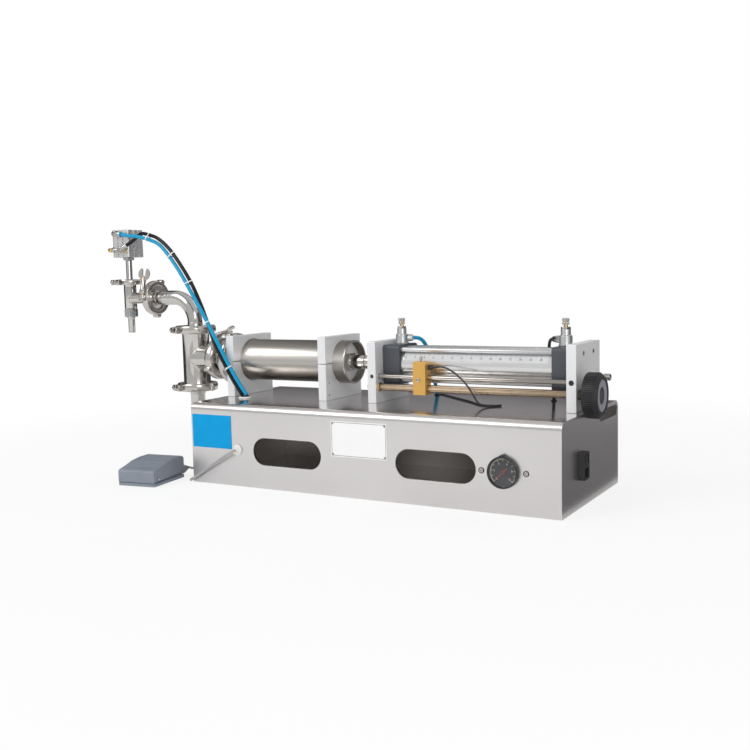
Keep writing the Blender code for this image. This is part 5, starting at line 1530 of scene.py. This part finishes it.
def addCordRelief():
    # soft tapered sleeve where the pedal's cord comes out of the base
    hole = hoseSet["cordDiameter"] / 2 + 0.0002
    mid = span("cord_grommet")[2]
    outline = [(hole, 0.004), (0.0052, 0.004), (0.0050, 0.0052), (0.0034, 0.0078), (hole + 0.0002, 0.0088),
               (hole, 0.0088)]
    put("cordRelief", spun(outline, 40, 0.0002), whitePlastic, ((mid.x, frontY - gap, mid.z), forward))


addPedal()
addCordRelief()
print("pedal is down")


# small things on the hoses
def addTies():
    blue = hosePoints[0]
    for k, share in enumerate(hoseSet["ties"]):
        n = round(share * (len(blue) - 1))
        here = blue[n]
        along = (blue[n + 1] - blue[n - 1]).normalized()
        other = min(hosePoints[1], key=lambda q: (q - here).length)
        between = other - here
        spread = min(between.length, 0.014)
        across = (between - between.dot(along) * along).normalized()
        outer = arcTie(spread, hoseSet["diameter"] / 2 + 0.0008)
        inner = arcTie(spread, hoseSet["diameter"] / 2 + 0.0001)
        turn = Matrix((across, along.cross(across), along)).transposed().to_4x4()
        where = Matrix.Translation(here) @ turn
        put("hoseTie_%d" % k, ring(outer, inner, 0.0025), tieWhite, where, crease=50)
        lock = where @ Matrix.Translation((spread / 2, -hoseSet["diameter"] / 2 - 0.002, 0))
        put("hoseTieLock_%d" % k, raised(rectangle(0.0042, 0.0034, 0.0006), 0.0036, -0.0005), tieWhite, lock,
            bevel=0.0003)


def arcTie(spread, reach, steps=16):
    return arc((spread, 0), reach, -90, 90, steps) + arc((0, 0), reach, 90, 270, steps)


addTies()


# pale studio
studioSet = {"ambient": 0.62, "key": 34.0, "fill": 14.0, "rim": 10.0, "floorGlow": 0.80,
             "fadeFrom": 0.7, "fadeTo": 1.7}


def areaLamp(name, at, aim, size, power):
    lamp = bpy.data.lights.new(name, "AREA")
    lamp.shape = "RECTANGLE"
    lamp.size, lamp.size_y = size
    lamp.energy = power
    thing = placed(name, lamp)
    thing.location = at
    thing.rotation_euler = (Vector(aim) - Vector(at)).to_track_quat("-Z", "Y").to_euler()
    return thing


def flatSheet(name, x, y, z, finish):
    mesh = bpy.data.meshes.new(name)
    mesh.from_pydata([(-x, -y, z), (x, -y, z), (x, y, z), (-x, y, z)], [], [(0, 1, 2, 3)])
    mesh.materials.append(finish)
    return placed(name, mesh)


def addStudio():
    world = bpy.data.worlds.new("studio")
    bpy.context.scene.world = world
    g = Graph(world)
    direct, through = (g.node("LightPath", {}, {}, ray)
                       for ray in ("Is Camera Ray", "Is Transmission Ray"))
    seen = g.maths("MAXIMUM", direct, through)
    low = (studioSet["ambient"],) * 3
    background = g.tree.nodes.get("Background") or g.tree.nodes.new("ShaderNodeBackground")
    g.feed(background.inputs["Color"], g.blend(seen, low, (1, 1, 1)))
    background.inputs["Strength"].default_value = 1.0

    floor = Graph(bpy.data.materials.new("floor"))
    where = floor.place()
    speck = floor.noise(where, 3.0, 2.0)
    floor.look(Base_Color=floor.blend(speck, (0.86, 0.86, 0.86), (0.90, 0.90, 0.90)),
               Roughness=speck * 0.1 + 0.75)
    direct = floor.node("LightPath", {}, {}, "Is Camera Ray")
    glow = floor.tree.nodes.new("ShaderNodeEmission")
    mix = floor.tree.nodes.new("ShaderNodeMixShader")
    far = floor.node("VectorMath", {"operation": "LENGTH"}, {0: where}, "Value")
    fade = floor.node("MapRange", {"interpolation_type": "SMOOTHSTEP"},
                      {"Value": far, "From Min": studioSet["fadeFrom"], "From Max": studioSet["fadeTo"],
                       "To Min": studioSet["floorGlow"], "To Max": 1.0}, "Result")
    floor.feed(mix.inputs[0], direct * fade)
    floor.tree.links.new(floor.shader.outputs[0], mix.inputs[1])
    floor.tree.links.new(glow.outputs[0], mix.inputs[2])
    out = next(x for x in floor.tree.nodes if x.type == "OUTPUT_MATERIAL")
    floor.tree.links.new(mix.outputs[0], out.inputs[0])
    flatSheet("floor", 40, 40, -0.0005, floor.owner)
    areaLamp("keyLamp", (-1.5, -2.0, 2.3), (-0.1, 0, 0.15), (1.8, 1.4), studioSet["key"])
    areaLamp("fillLamp", (1.8, -1.9, 1.3), (0, 0, 0.15), (1.2, 1.2), studioSet["fill"])
    areaLamp("backLamp", (0.2, 2.2, 2.2), (0, 0, 0.15), (2.4, 0.8), studioSet["rim"])


def addFlag(name, at, aim, size, tone):
    # dark card that only mirrors see, for the long dark bands in steel
    g = material(name, Roughness=0.9, Specular_IOR_Level=0.0)
    cloud = g.noise(g.place(), 4.0, 2.0)
    g.look(Base_Color=g.blend(cloud, (tone, tone, tone), (tone * 1.6, tone * 1.5, tone * 1.6)))
    card = flatSheet(name, size[0] / 2, size[1] / 2, 0, g.owner)
    card.location = at
    card.rotation_euler = (Vector(aim) - Vector(at)).to_track_quat("Z", "Y").to_euler()
    card.visible_camera = False
    card.visible_diffuse = False
    card.visible_shadow = False
    card.visible_transmission = False


addStudio()
addFlag("flagBehind", (-0.9, 2.0, 1.10), (-0.9, 0, 1.10), (6.0, 2.5), 0.24)
addFlag("flagStrip", (-0.9, 1.9, 0.14), (-0.9, 0, 0.14), (6.0, 0.46), 0.05)
addFlag("flagLeft", (-2.0, 0.3, 0.9), (-0.5, 0, 0.9), (2.2, 2.4), 0.05)
addFlag("flagRight", (1.5, 0.7, 0.65), (0.4, 0.1, 0.3), (1.8, 1.4), 0.10)
addFlag("flagLow", (1.0, 0.45, 0.001), (1.0, 0.45, 1), (1.2, 1.5), 0.16)
print("studio is lit")
